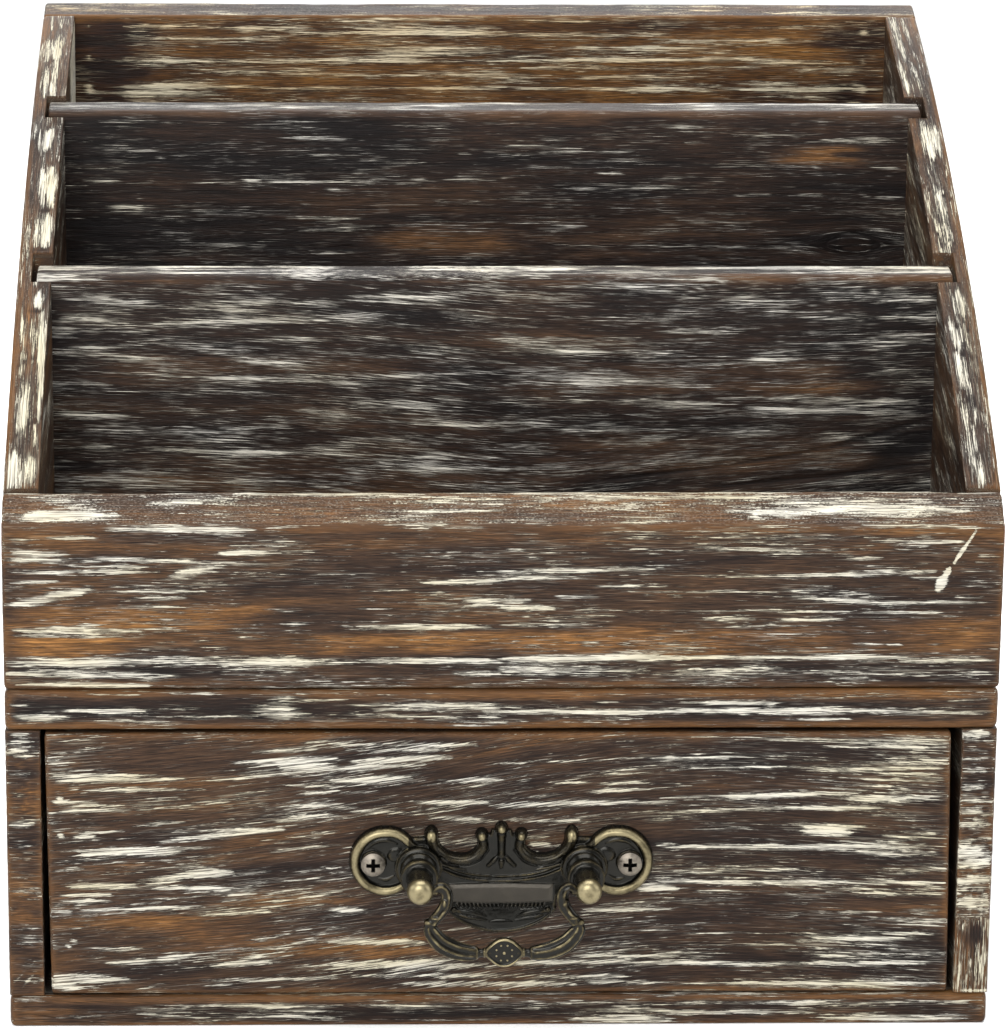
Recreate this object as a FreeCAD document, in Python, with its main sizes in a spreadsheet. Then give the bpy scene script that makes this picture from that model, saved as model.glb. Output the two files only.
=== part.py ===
import FreeCAD, Part
import math
import os
import Sketcher
from FreeCAD import Vector, Placement, Rotation

os.makedirs("parts", exist_ok=True)
doc = FreeCAD.newDocument("envelope_sorter")

# ----------------------------------------------------------------------
# Driving dimensions (millimetres). X runs to the right, Y to the back,
# Z up. The origin is the middle of the cabinet's footprint.
# ----------------------------------------------------------------------
DIMS = [
    ("width", 250.0),               # outside width of sorter and cabinet
    ("depth", 180.0),               # outside depth without the pull
    ("stock", 9.0),                 # board thickness
    ("base_board", 8.2),            # cabinet bottom board
    ("opening_height", 70.5),       # clear height of the drawer opening
    ("top_board", 10.6),            # cabinet top board
    ("ease", 1.5),                  # rounded-over board edges
    ("ease_small", 0.9),
    ("ease_slope", 1.2),            # bevel along the sides' curved top edge
    ("front_low", 42.0),            # front panel height at its face
    ("front_high", 50.1),           # front panel height at its back
    ("side_back", 149.3),           # side panel height at its back edge
    ("back_high", 152.6),           # back panel height at its rear face
    ("slope_radius", 540.0),        # radius of the sloping side edge
    ("front_divider_pos", 63.0),    # front face of divider from the front
    ("front_divider_low", 93.8),
    ("front_divider_high", 95.1),
    ("rear_divider_pos", 121.7),
    ("rear_divider_low", 128.7),
    ("rear_divider_high", 130.3),
    ("slot_width", 9.2),
    ("slot_depth", 5.2),
    ("divider_length", 240.3),
    ("front_divider_shift", 0.2),
    ("rear_divider_shift", -0.4),
    ("drawer_left", 114.2),         # outer face of the left drawer side
    ("drawer_right", 113.2),        # outer face of the right drawer side
    ("drawer_lift", 0.3),           # running gap under the drawer
    ("drawer_front_height", 69.5),
    ("front_left_top", 115.1),
    ("front_left_bottom", 114.3),
    ("front_right_top", 113.3),
    ("front_right_bottom", 114.6),
    ("drawer_side_length", 156.0),
    ("drawer_side_height", 60.0),
    ("groove_height", 4.0),
    ("groove_width", 3.2),
    ("groove_depth", 4.0),
    ("bottom_panel", 3.0),
    ("brad_radius", 0.6),
    ("brad_hole", 0.66),
    ("brad_length", 24.0),
    ("brad_short", 18.0),
    ("brad_set", 0.3),              # brads are set this far below the wood
    ("screw_shank", 1.5),
    ("screw_hole", 1.58),
    ("screw_head", 3.1),
    ("screw_length", 24.0),
    ("pull_height", 44.1),          # height of the pull's screws
    ("pull_screw_span", 64.9),
    ("pull_screw_head", 3.05),
    ("pull_screw_shank", 1.4),
    ("pull_screw_hole", 1.48),
    ("pull_screw_length", 7.6),
    ("plate_thickness", 1.8),
    ("lobe_radius", 9.1),
    ("lobe_pos", 29.3),
    ("lobe_height", 44.5),
    ("rim_radius", 7.85),
    ("rim_bead", 1.25),
    ("post_pos", 20.95),
    ("post_height", 42.9),
    ("post_reach", 19.5),           # bail axis in front of the drawer
    ("post_flange", 5.6),
    ("post_collar", 4.7),
    ("post_shaft", 3.3),
    ("post_tenon", 1.6),
    ("post_tenon_hole", 1.68),
    ("bail_pin", 1.1),
    ("bail_bore", 1.17),
    ("bail_rod", 1.3),
    ("medallion_radius", 3.6),
    ("medallion_drop", 15.9),
]
D = {}
sheet = doc.addObject("Spreadsheet::Sheet", "dims")
for row, (alias, value) in enumerate(DIMS, start=1):
    sheet.set("A%d" % row, alias)
    sheet.set("B%d" % row, "%g" % value)
    sheet.setAlias("B%d" % row, alias)
    D[alias] = value
doc.recompute()


class Q:
    """A length with its value and the expression that drives it."""

    def __init__(self, num, exp):
        self.num = num
        self.exp = exp

    def __add__(self, other):
        o = quantity(other)
        return Q(self.num + o.num, "(%s + %s)" % (self.exp, o.exp))

    def __sub__(self, other):
        o = quantity(other)
        return Q(self.num - o.num, "(%s - %s)" % (self.exp, o.exp))

    def __mul__(self, factor):
        return Q(self.num * factor, "(%s * %r)" % (self.exp, float(factor)))

    def __neg__(self):
        return Q(-self.num, "(0 - %s)" % self.exp)


def quantity(value):
    if isinstance(value, Q):
        return value
    return Q(float(value), "%r" % float(value))


def dim(alias):
    return Q(D[alias], "dims." + alias)


# ----------------------------------------------------------------------
# Helpers for bodies, sketches and features
# ----------------------------------------------------------------------
NODES = []


def body(name, pos=(0, 0, 0)):
    b = doc.addObject("PartDesign::Body", name)
    b.Label = name
    for axis, value in zip("xyz", pos):
        v = quantity(value)
        setattr_base(b, axis, v)
    NODES.append(b)
    return b


def setattr_base(obj, axis, v):
    obj.setExpression("Placement.Base." + axis, v.exp)


def origin_plane(b, role):
    for f in b.Origin.OriginFeatures:
        if f.Role == role:
            return f
    raise RuntimeError("no plane " + role)


def new_sketch(b, name, role, offset=None):
    sk = b.newObject("Sketcher::SketchObject", name)
    sk.AttachmentSupport = [(origin_plane(b, role), "")]
    sk.MapMode = "FlatFace"
    if offset is not None:
        v = quantity(offset)
        sk.AttachmentOffset = Placement(Vector(0, 0, v.num), Rotation())
        sk.setExpression("AttachmentOffset.Base.z", v.exp)
    return sk


def pin_coordinate(sk, geo, pos, axis, v):
    """Fix one coordinate of a sketch point, driven by the sheet."""
    v = quantity(v)
    if abs(v.num) < 1e-9:
        line = -2 if axis == "X" else -1
        sk.addConstraint(Sketcher.Constraint("PointOnObject", geo, pos, line))
        return
    kind = "Distance" + axis
    if v.num > 0:
        index = sk.addConstraint(Sketcher.Constraint(kind, -1, 1, geo, pos, v.num))
        sk.setExpression("Constraints[%d]" % index, v.exp)
    else:
        index = sk.addConstraint(Sketcher.Constraint(kind, geo, pos, -1, 1, -v.num))
        sk.setExpression("Constraints[%d]" % index, (-v).exp)


def polygon(b, name, role, points, arcs=None, offset=None):
    """Closed profile. arcs maps an edge number to the radius of a convex
    arc that runs counter-clockwise from its first to its second point."""
    arcs = arcs or {}
    sk = new_sketch(b, name, role, offset)
    pts = [(quantity(x), quantity(y)) for x, y in points]
    n = len(pts)
    for i in range(n):
        p = Vector(pts[i][0].num, pts[i][1].num, 0)
        r = Vector(pts[(i + 1) % n][0].num, pts[(i + 1) % n][1].num, 0)
        if i in arcs:
            radius = quantity(arcs[i])
            mid = (p + r) * 0.5
            half = (r - p).Length / 2.0
            away = Vector(-(r - p).y, (r - p).x, 0).normalize()
            centre = mid + away * math.sqrt(radius.num ** 2 - half ** 2)
            a0 = math.atan2(p.y - centre.y, p.x - centre.x)
            a1 = math.atan2(r.y - centre.y, r.x - centre.x)
            if a1 < a0:
                a1 += 2 * math.pi
            circle = Part.Circle(centre, Vector(0, 0, 1), radius.num)
            sk.addGeometry(Part.ArcOfCircle(circle, a0, a1), False)
        else:
            sk.addGeometry(Part.LineSegment(p, r), False)
    for i in range(n):
        sk.addConstraint(Sketcher.Constraint("Coincident", i, 2, (i + 1) % n, 1))
    for i in range(n):
        pin_coordinate(sk, i, 1, "X", pts[i][0])
        pin_coordinate(sk, i, 1, "Y", pts[i][1])
        if i in arcs:
            radius = quantity(arcs[i])
            index = sk.addConstraint(Sketcher.Constraint("Radius", i, radius.num))
            sk.setExpression("Constraints[%d]" % index, radius.exp)
    return sk


def rectangle(b, name, role, x0, y0, x1, y1, offset=None):
    return polygon(b, name, role, [(x0, y0), (x1, y0), (x1, y1), (x0, y1)], offset=offset)


def circles(b, name, role, centres, radius, offset=None):
    sk = new_sketch(b, name, role, offset)
    r = quantity(radius)
    for i, (x, y) in enumerate(centres):
        x, y = quantity(x), quantity(y)
        sk.addGeometry(Part.Circle(Vector(x.num, y.num, 0), Vector(0, 0, 1), r.num), False)
        pin_coordinate(sk, i, 3, "X", x)
        pin_coordinate(sk, i, 3, "Y", y)
        index = sk.addConstraint(Sketcher.Constraint("Radius", i, r.num))
        sk.setExpression("Constraints[%d]" % index, r.exp)
    return sk


def pad(b, sk, length, reverse=False):
    v = quantity(length)
    f = b.newObject("PartDesign::Pad", b.Name + "_pad")
    f.Profile = sk
    f.Length = v.num
    f.setExpression("Length", v.exp)
    f.Reversed = reverse
    doc.recompute()
    return f


def pocket(b, sk, length, reverse=False, name="pocket"):
    """Cut the profile out of the body and make sure that it cut."""
    before = b.Shape.Volume
    v = quantity(length)
    f = b.newObject("PartDesign::Pocket", b.Name + "_" + name)
    f.Profile = sk
    f.Length = v.num
    f.setExpression("Length", v.exp)
    f.Reversed = reverse
    doc.recompute()
    if not b.Shape.Volume < before - 0.5:
        raise RuntimeError("%s %s cut nothing" % (b.Label, name))
    return f


def pick_edges(shape, test):
    return ["Edge%d" % (i + 1) for i, e in enumerate(shape.Edges) if test(e)]


def fillet(b, test, radius, name="fillet", kind="Fillet"):
    """Round the chosen edges, or bevel them where kind is Chamfer."""
    tip = b.Tip
    edges = pick_edges(tip.Shape, test)
    if not edges:
        raise RuntimeError("%s %s found no edge" % (b.Label, name))
    v = quantity(radius)
    f = b.newObject("PartDesign::" + kind, b.Name + "_" + name)
    f.Base = (tip, edges)
    size = "Radius" if kind == "Fillet" else "Size"
    setattr(f, size, v.num)
    f.setExpression(size, v.exp)
    doc.recompute()
    return f


def along(axis, tol=1e-6):
    """Test for straight edges that run along one axis."""
    keep = "xyz".index(axis)

    def test(e):
        if len(e.Vertexes) != 2:
            return False
        d = e.Vertexes[1].Point - e.Vertexes[0].Point
        return all(abs(d[i]) < tol for i in range(3) if i != keep) and abs(d[keep]) > tol
    return test


def near(e, axis, value, tol=0.02):
    keep = "xyz".index(axis)
    return all(abs(v.Point[keep] - value) < tol for v in e.Vertexes)


# ----------------------------------------------------------------------
# Levels and positions
# ----------------------------------------------------------------------
W = dim("width")
half_w = dim("width") * 0.5
half_d = dim("depth") * 0.5
T = dim("stock")
floor_z = dim("base_board")
ceiling_z = dim("base_board") + dim("opening_height")
deck_z = ceiling_z + dim("top_board")
front_y = -half_d
side_line = half_w - T * 0.5           # middle of the side boards

BRAD_FRONT_Z = (8.0, 24.0, 38.0)        # above the deck
BRAD_BACK_Z = (15.0, 55.0, 95.0, 135.0)  # above the deck
BRAD_CAB_Y = (-75.0, 0.0, 75.0)
BRAD_CABBACK_Z = (20.0, 50.0)           # above the cabinet floor
BRAD_DRAWER_L = (51.4, 41.6, 21.0)      # above the drawer's lower edge
BRAD_DRAWER_R = (50.6, 42.1, 13.6)
BRAD_DRAWERBACK_Z = (20.0, 46.0)
SCREW_X = (-62.0, 62.0)

# ----------------------------------------------------------------------
# Cabinet
# ----------------------------------------------------------------------


def flat_board(name, z, thick):
    b = body(name, (0, 0, z))
    sk = rectangle(b, name + "_outline", "XY_Plane", -half_w, -half_d, half_w, half_d)
    pad(b, sk, thick)
    fillet(b, lambda e: True, dim("ease"), "eased")
    return b


bottom = flat_board("cabinet_bottom_board", 0, dim("base_board"))
sk = circles(bottom, "bottom_brad_holes", "XY_Plane",
             [(sx, y) for sx in (-side_line, side_line) for y in BRAD_CAB_Y], dim("brad_hole"))
pocket(bottom, sk, dim("base_board"), reverse=True, name="brad_holes")

top = flat_board("cabinet_top_board", ceiling_z, dim("top_board"))
sk = circles(top, "top_brad_holes", "XY_Plane",
             [(sx, y) for sx in (-side_line, side_line) for y in BRAD_CAB_Y], dim("brad_hole"))
pocket(top, sk, dim("top_board"), reverse=True, name="brad_holes")
# Screws go up through this board into the front panel and both dividers.
screw_rows = [front_y + T * 0.5,
              front_y + dim("front_divider_pos") + T * 0.5,
              front_y + dim("rear_divider_pos") + T * 0.5]
screw_points = [(x, y) for y in screw_rows for x in SCREW_X]
sk = circles(top, "screw_holes_sketch", "XY_Plane", screw_points, dim("screw_hole"))
pocket(top, sk, dim("top_board"), reverse=True, name="screw_holes")
sk = circles(top, "screw_recess_sketch", "XY_Plane", screw_points, dim("screw_head") + 0.15)
pocket(top, sk, 2.6, reverse=True, name="screw_recess")


def cabinet_side(name, sign):
    x0 = -half_w if sign < 0 else half_w - T
    b = body(name, (x0, front_y, floor_z))
    sk = rectangle(b, name + "_outline", "YZ_Plane", 0, 0, dim("depth"), dim("opening_height"))
    pad(b, sk, T)
    outer = 0.0 if sign < 0 else D["stock"]
    fillet(b, lambda e: along("z")(e) and (near(e, "x", outer) or near(e, "y", 0)),
           dim("ease_small"), "eased")
    pts = [(T * 0.5, y) for y in (half_d + v for v in BRAD_CAB_Y)]
    sk = circles(b, name + "_lower_holes", "XY_Plane", pts, dim("brad_hole"))
    pocket(b, sk, dim("brad_length") - dim("base_board") + 0.6, reverse=True, name="lower_holes")
    sk = circles(b, name + "_upper_holes", "XY_Plane", pts, dim("brad_hole"),
                 offset=dim("opening_height"))
    pocket(b, sk, dim("brad_length") - dim("top_board") + 0.6, name="upper_holes")
    sk = circles(b, name + "_back_holes", "YZ_Plane",
                 [(dim("depth") - T * 0.5, z) for z in BRAD_CABBACK_Z], dim("brad_hole"))
    pocket(b, sk, T, reverse=True, name="back_holes")
    return b


cabinet_side("cabinet_left_side", -1)
cabinet_side("cabinet_right_side", 1)

cab_back = body("cabinet_back_board", (-half_w + T, half_d - T, floor_z))
sk = rectangle(cab_back, "cab_back_outline", "XZ_Plane", 0, 0, W - T * 2, dim("opening_height"))
pad(cab_back, sk, T, reverse=True)
sk = circles(cab_back, "cab_back_left_holes", "YZ_Plane",
             [(T * 0.5, z) for z in BRAD_CABBACK_Z], dim("brad_hole"))
pocket(cab_back, sk, dim("brad_length") - T + 0.6, reverse=True, name="left_holes")
sk = circles(cab_back, "cab_back_right_holes", "YZ_Plane",
             [(T * 0.5, z) for z in BRAD_CABBACK_Z], dim("brad_hole"), offset=W - T * 2)
pocket(cab_back, sk, dim("brad_length") - T + 0.6, name="right_holes")

# ----------------------------------------------------------------------
# Sorter
# ----------------------------------------------------------------------


def sorter_side(name, sign):
    x0 = -half_w if sign < 0 else half_w - T
    b = body(name, (x0, front_y + T, deck_z))
    run = dim("depth") - T * 2
    sk = polygon(b, name + "_outline", "YZ_Plane",
                 [(0, 0), (run, 0), (run, dim("side_back")), (0, dim("front_high"))],
                 arcs={2: dim("slope_radius")})
    pad(b, sk, T)
    outer = 0.0 if sign < 0 else D["stock"]
    fillet(b, lambda e: along("y")(e) and near(e, "x", outer) and near(e, "z", 0), dim("ease"), "foot_round")

    # Blind slots for the dividers, open at the top, cut in the inner face.
    inner = T - dim("slot_depth") if sign < 0 else quantity(-2)
    outer_x = T + 2 if sign < 0 else dim("slot_depth")
    for tag, pos in (("front", dim("front_divider_pos")), ("rear", dim("rear_divider_pos"))):
        y0 = pos - T - 0.1
        sk = rectangle(b, name + "_" + tag + "_slot", "XY_Plane",
                       inner, y0, outer_x, y0 + dim("slot_width"))
        pocket(b, sk, dim("side_back") + 10, reverse=True, name=tag + "_slot_cut")
    sk = circles(b, name + "_front_holes", "XZ_Plane",
                 [(T * 0.5, z) for z in BRAD_FRONT_Z], dim("brad_hole"))
    pocket(b, sk, dim("brad_length") - T + 0.6, name="front_holes")
    sk = circles(b, name + "_back_holes", "XZ_Plane",
                 [(T * 0.5, z) for z in BRAD_BACK_Z], dim("brad_hole"), offset=-run)
    pocket(b, sk, dim("brad_length") - T + 0.6, reverse=True, name="back_holes")

    def slope_edge(e):
        zs = sorted(v.Point.z for v in e.Vertexes)
        return near(e, "x", outer) and zs[-1] - zs[0] > 50 and type(e.Curve).__name__ == "Circle"
    fillet(b, slope_edge, dim("ease_slope"), "slope_ease", kind="Chamfer")
    return b


sorter_side("sorter_left_side", -1)
sorter_side("sorter_right_side", 1)


def cross_board(name, x0, y0, length, low, high, radii):
    """Board that runs across the sorter, with a sloping top edge."""
    b = body(name, (x0, y0, deck_z))
    sk = polygon(b, name + "_outline", "YZ_Plane", [(0, 0), (T, 0), (T, high), (0, low)])
    pad(b, sk, length)
    fillet(b, lambda e: along("x")(e) and near(e, "y", 0) and near(e, "z", quantity(low).num),
           radii[0], "front_round")
    fillet(b, lambda e: along("x")(e) and near(e, "y", D["stock"]) and near(e, "z", quantity(high).num),
           radii[1], "back_round")
    return b


front_panel = cross_board("sorter_front_panel", -half_w, front_y, W,
                          dim("front_low"), dim("front_high"), (2.2, 1.0))
fillet(front_panel, lambda e: along("x")(e) and near(e, "y", 0) and near(e, "z", 0), dim("ease"), "foot_round")
fillet(front_panel, lambda e: along("z")(e) and near(e, "y", 0), dim("ease_small"), "end_round")
sk = circles(front_panel, "front_panel_brad_holes", "XZ_Plane",
             [(x, z) for x in (T * 0.5, W - T * 0.5) for z in BRAD_FRONT_Z], dim("brad_hole"))
pocket(front_panel, sk, T, name="brad_holes")
sk = circles(front_panel, "front_panel_screw_holes", "XY_Plane",
             [(half_w + x, T * 0.5) for x in SCREW_X], dim("screw_hole"))
pocket(front_panel, sk, dim("screw_length") - dim("top_board") + 1.0, reverse=True, name="screw_holes")

back_panel = cross_board("sorter_back_panel", -half_w, half_d - T, W,
                         dim("side_back"), dim("back_high"), (0.8, dim("ease")))
fillet(back_panel, lambda e: along("z")(e) and near(e, "y", D["stock"]), dim("ease_small"), "end_round")
sk = circles(back_panel, "back_panel_brad_holes", "XZ_Plane",
             [(x, z) for x in (T * 0.5, W - T * 0.5) for z in BRAD_BACK_Z], dim("brad_hole"))
pocket(back_panel, sk, T, name="brad_holes")

for name, pos, low, high, shift in (
        ("sorter_front_divider", "front_divider_pos", "front_divider_low", "front_divider_high", "front_divider_shift"),
        ("sorter_rear_divider", "rear_divider_pos", "rear_divider_low", "rear_divider_high", "rear_divider_shift")):
    length = dim("divider_length")
    b = cross_board(name, -(length * 0.5) + dim(shift), front_y + dim(pos), length,
                    dim(low), dim(high), (1.9, 1.0))
    sk = circles(b, name + "_screw_holes", "XY_Plane",
                 [(length * 0.5 - dim(shift) + x, T * 0.5) for x in SCREW_X], dim("screw_hole"))
    pocket(b, sk, dim("screw_length") - dim("top_board") + 1.0, reverse=True, name="screw_holes")

# ----------------------------------------------------------------------
# Drawer: the front is a little out of square, as hand-cut fronts are
# ----------------------------------------------------------------------
drawer_z = floor_z + dim("drawer_lift")
front_h = dim("drawer_front_height")
groove_z = dim("groove_height")

df = body("drawer_front", (0, front_y, drawer_z))
sk = polygon(df, "drawer_front_outline", "XZ_Plane",
             [(-dim("front_left_bottom"), 0), (dim("front_right_bottom"), 0),
              (dim("front_right_top"), front_h), (-dim("front_left_top"), front_h)])
pad(df, sk, T, reverse=True)
fillet(df, lambda e: near(e, "y", 0), 1.1, "eased")
sk = rectangle(df, "drawer_front_groove", "XZ_Plane",
               -(dim("drawer_left") - T + dim("groove_depth")), groove_z,
               dim("drawer_right") - T + dim("groove_depth"), groove_z + dim("groove_width"),
               offset=-T)
pocket(df, sk, dim("groove_depth"), reverse=True, name="groove")
sk = circles(df, "drawer_front_brad_holes", "XZ_Plane",
             [(-(dim("drawer_left") - T * 0.5), z) for z in BRAD_DRAWER_L] +
             [(dim("drawer_right") - T * 0.5, z) for z in BRAD_DRAWER_R], dim("brad_hole"))
pocket(df, sk, T, name="brad_holes")
pull_z = dim("pull_height") - drawer_z
post_z = dim("post_height") - drawer_z
half_span = dim("pull_screw_span") * 0.5
sk = circles(df, "drawer_front_screw_holes", "XZ_Plane",
             [(-half_span, pull_z), (half_span, pull_z)], dim("pull_screw_hole"))
pocket(df, sk, dim("pull_screw_length"), name="pull_screw_holes")


def drawer_side(name, sign):
    x0 = -dim("drawer_left") if sign < 0 else dim("drawer_right") - T
    b = body(name, (x0, front_y + T, drawer_z))
    sk = rectangle(b, name + "_outline", "YZ_Plane", 0, 0,
                   dim("drawer_side_length"), dim("drawer_side_height"))
    pad(b, sk, T)
    fillet(b, lambda e: along("y")(e) and near(e, "z", D["drawer_side_height"]), 1.2, "eased")
    # Groove for the bottom panel along the inner face.
    x_in, x_out = (T - dim("groove_depth"), T + 1) if sign < 0 else (quantity(-1), dim("groove_depth"))
    sk = rectangle(b, name + "_groove", "XZ_Plane", x_in, groove_z, x_out,
                   groove_z + dim("groove_width"))
    pocket(b, sk, dim("drawer_side_length"), name="groove_cut")
    zs = BRAD_DRAWER_L if sign < 0 else BRAD_DRAWER_R
    sk = circles(b, name + "_front_holes", "XZ_Plane", [(T * 0.5, z) for z in zs], dim("brad_hole"))
    pocket(b, sk, dim("brad_length") - T + 0.6, name="front_holes")
    sk = circles(b, name + "_back_holes", "YZ_Plane",
                 [(dim("drawer_side_length") - T * 0.5, z) for z in BRAD_DRAWERBACK_Z], dim("brad_hole"))
    pocket(b, sk, T, reverse=True, name="back_holes")
    return b


drawer_side("drawer_left_side", -1)
drawer_side("drawer_right_side", 1)

inner_w = dim("drawer_left") + dim("drawer_right") - T * 2
back_y = front_y + dim("drawer_side_length")
panel_z = groove_z + 0.1
back_lift = panel_z + dim("bottom_panel")
db = body("drawer_back", (-dim("drawer_left") + T, back_y, drawer_z + back_lift))
sk = rectangle(db, "drawer_back_outline", "XZ_Plane", 0, 0, inner_w,
               dim("drawer_side_height") - back_lift)
pad(db, sk, T, reverse=True)
fillet(db, lambda e: along("x")(e) and near(e, "z", D["drawer_side_height"] - quantity(back_lift).num),
       1.2, "eased")
for tag, off, rev in (("left", None, True), ("right", inner_w, False)):
    sk = circles(db, "drawer_back_%s_holes" % tag, "YZ_Plane",
                 [(T * 0.5, quantity(z) - back_lift) for z in BRAD_DRAWERBACK_Z],
                 dim("brad_hole"), offset=off)
    pocket(db, sk, dim("brad_short") - T + 0.6, reverse=rev, name=tag + "_holes")
BOTTOM_BRAD_X = (-70.0, 0.0, 70.0)
shift_x = dim("drawer_left") - T
sk = circles(db, "drawer_back_lower_holes", "XY_Plane",
             [(shift_x + x, T * 0.5) for x in BOTTOM_BRAD_X], dim("brad_hole"))
pocket(db, sk, dim("brad_short") - dim("bottom_panel") + 0.6, reverse=True, name="lower_holes")

tongue = dim("groove_depth") - 0.3
dp = body("drawer_bottom", (-dim("drawer_left") + T - tongue, front_y + T - tongue, drawer_z + panel_z))
sk = rectangle(dp, "drawer_bottom_outline", "XY_Plane", 0, 0,
               inner_w + tongue * 2, dim("drawer_side_length") + tongue)
pad(dp, sk, dim("bottom_panel"))
sk = circles(dp, "drawer_bottom_brad_holes", "XY_Plane",
             [(shift_x + tongue + x, dim("drawer_side_length") + tongue - T * 0.5)
              for x in BOTTOM_BRAD_X], dim("brad_hole"))
pocket(dp, sk, dim("bottom_panel"), reverse=True, name="brad_holes")

# ----------------------------------------------------------------------
# Fasteners. Each group is a set of separate pins or screws.
# ----------------------------------------------------------------------


def fastener_group(name, solids):
    f = doc.addObject("Part::Feature", name)
    f.Label = name
    f.Shape = Part.makeCompound(solids)
    NODES.append(f)
    return f


def brad(point, direction, length):
    """Headless pin with a short conical point, set below the surface."""
    d = Vector(*direction)
    r = D["brad_radius"]
    start = Vector(*point) + d * D["brad_set"]
    body_len = length - D["brad_set"] - 1.2
    pin = Part.makeCylinder(r, body_len, start, d)
    tip = Part.makeCone(r, 0.12, 1.2, start + d * body_len, d)
    return pin.fuse(tip).removeSplitter()


y_f = -D["depth"] / 2
y_b = D["depth"] / 2
x_s = D["width"] / 2 - D["stock"] / 2
z_c = D["base_board"] + D["opening_height"]
z_k = z_c + D["top_board"]
z_d = D["base_board"] + D["drawer_lift"]
t = D["stock"]
long_brad = D["brad_length"]
short_brad = D["brad_short"]

fastener_group("sorter_front_brads",
               [brad((s * x_s, y_f, z_k + z), (0, 1, 0), long_brad) for s in (-1, 1) for z in BRAD_FRONT_Z])
fastener_group("sorter_back_brads",
               [brad((s * x_s, y_b, z_k + z), (0, -1, 0), long_brad) for s in (-1, 1) for z in BRAD_BACK_Z])
fastener_group("cabinet_top_brads",
               [brad((s * x_s, y, z_k), (0, 0, -1), long_brad) for s in (-1, 1) for y in BRAD_CAB_Y])
fastener_group("cabinet_bottom_brads",
               [brad((s * x_s, y, 0), (0, 0, 1), long_brad) for s in (-1, 1) for y in BRAD_CAB_Y])
fastener_group("cabinet_back_brads",
               [brad((s * D["width"] / 2, y_b - t / 2, D["base_board"] + z), (-s, 0, 0), long_brad)
                for s in (-1, 1) for z in BRAD_CABBACK_Z])
fastener_group("drawer_front_brads",
               [brad((-D["drawer_left"] + t / 2, y_f, z_d + z), (0, 1, 0), long_brad) for z in BRAD_DRAWER_L] +
               [brad((D["drawer_right"] - t / 2, y_f, z_d + z), (0, 1, 0), long_brad) for z in BRAD_DRAWER_R])
y_db = y_f + t + D["drawer_side_length"] - t / 2
fastener_group("drawer_back_brads",
               [brad((-D["drawer_left"], y_db, z_d + z), (1, 0, 0), short_brad) for z in BRAD_DRAWERBACK_Z] +
               [brad((D["drawer_right"], y_db, z_d + z), (-1, 0, 0), short_brad) for z in BRAD_DRAWERBACK_Z])
fastener_group("drawer_bottom_brads",
               [brad((x, y_db, z_d + D["groove_height"] + 0.1), (0, 0, 1), short_brad) for x in BOTTOM_BRAD_X])


def base_screw(x, y):
    """Countersunk wood screw, head up against the underside of the deck."""
    r, rh = D["screw_shank"], D["screw_head"]
    length = D["screw_length"]
    z0 = z_c + 0.3
    up = Vector(0, 0, 1)
    head = Part.makeCylinder(rh, 0.4, Vector(x, y, z0), up)
    cone = Part.makeCone(rh, r, 1.7, Vector(x, y, z0 + 0.4), up)
    shank = Part.makeCylinder(r, length - 2.1 - 2.5, Vector(x, y, z0 + 2.1), up)
    tip = Part.makeCone(r, 0.2, 2.5, Vector(x, y, z0 + length - 2.5), up)
    screw = head.fuse([cone, shank, tip]).removeSplitter()
    slot_a = Part.makeBox(3.4, 0.8, 1.0, Vector(x - 1.7, y - 0.4, z0))
    slot_b = Part.makeBox(0.8, 3.4, 1.0, Vector(x - 0.4, y - 1.7, z0))
    return screw.cut(slot_a.fuse(slot_b))


fastener_group("sorter_base_screws",
               [base_screw(x, y_f + off + t / 2) for off in (0.0, D["front_divider_pos"], D["rear_divider_pos"])
                for x in SCREW_X])


def pull_screw(x):
    """Pan-head screw with a cross recess, through the plate into the wood."""
    z = D["pull_height"]
    seat = y_f - D["plate_thickness"]
    r, rh = D["pull_screw_shank"], D["pull_screw_head"]
    out = Vector(0, -1, 0)
    head = Part.makeCylinder(rh, 1.0, Vector(x, seat, z), out)
    dome = Part.makeSphere(6.1, Vector(x, seat - 1.9 + 6.1, z))
    limit = Part.makeCylinder(rh, 2.2, Vector(x, seat, z), out)
    head = head.fuse(dome.common(limit)).removeSplitter()
    length = D["plate_thickness"] + D["pull_screw_length"] - 0.4
    shank = Part.makeCylinder(r, length - 2.0, Vector(x, seat, z), Vector(0, 1, 0))
    tip = Part.makeCone(r, 0.2, 2.0, Vector(x, seat + length - 2.0, z), Vector(0, 1, 0))
    screw = head.fuse([shank, tip]).removeSplitter()
    slot_a = Part.makeBox(3.3, 1.6, 0.75, Vector(x - 1.65, seat - 2.4, z - 0.375))
    slot_b = Part.makeBox(0.75, 1.6, 3.3, Vector(x - 0.375, seat - 2.4, z - 1.65))
    return screw.cut(slot_a.fuse(slot_b))


hs = D["pull_screw_span"] / 2
fastener_group("pull_screws", [pull_screw(-hs), pull_screw(hs)])

# ----------------------------------------------------------------------
# Pull: backplate, two posts and the swinging bail
# ----------------------------------------------------------------------


def mirrored(points):
    return points + [(-x, z) for x, z in reversed(points) if abs(x) > 1e-6]


def prism(points, y0, y1):
    wire = Part.makePolygon([Vector(x, y0, z) for x, z in points + points[:1]])
    return Part.Face(wire).extrude(Vector(0, y1 - y0, 0))


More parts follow.
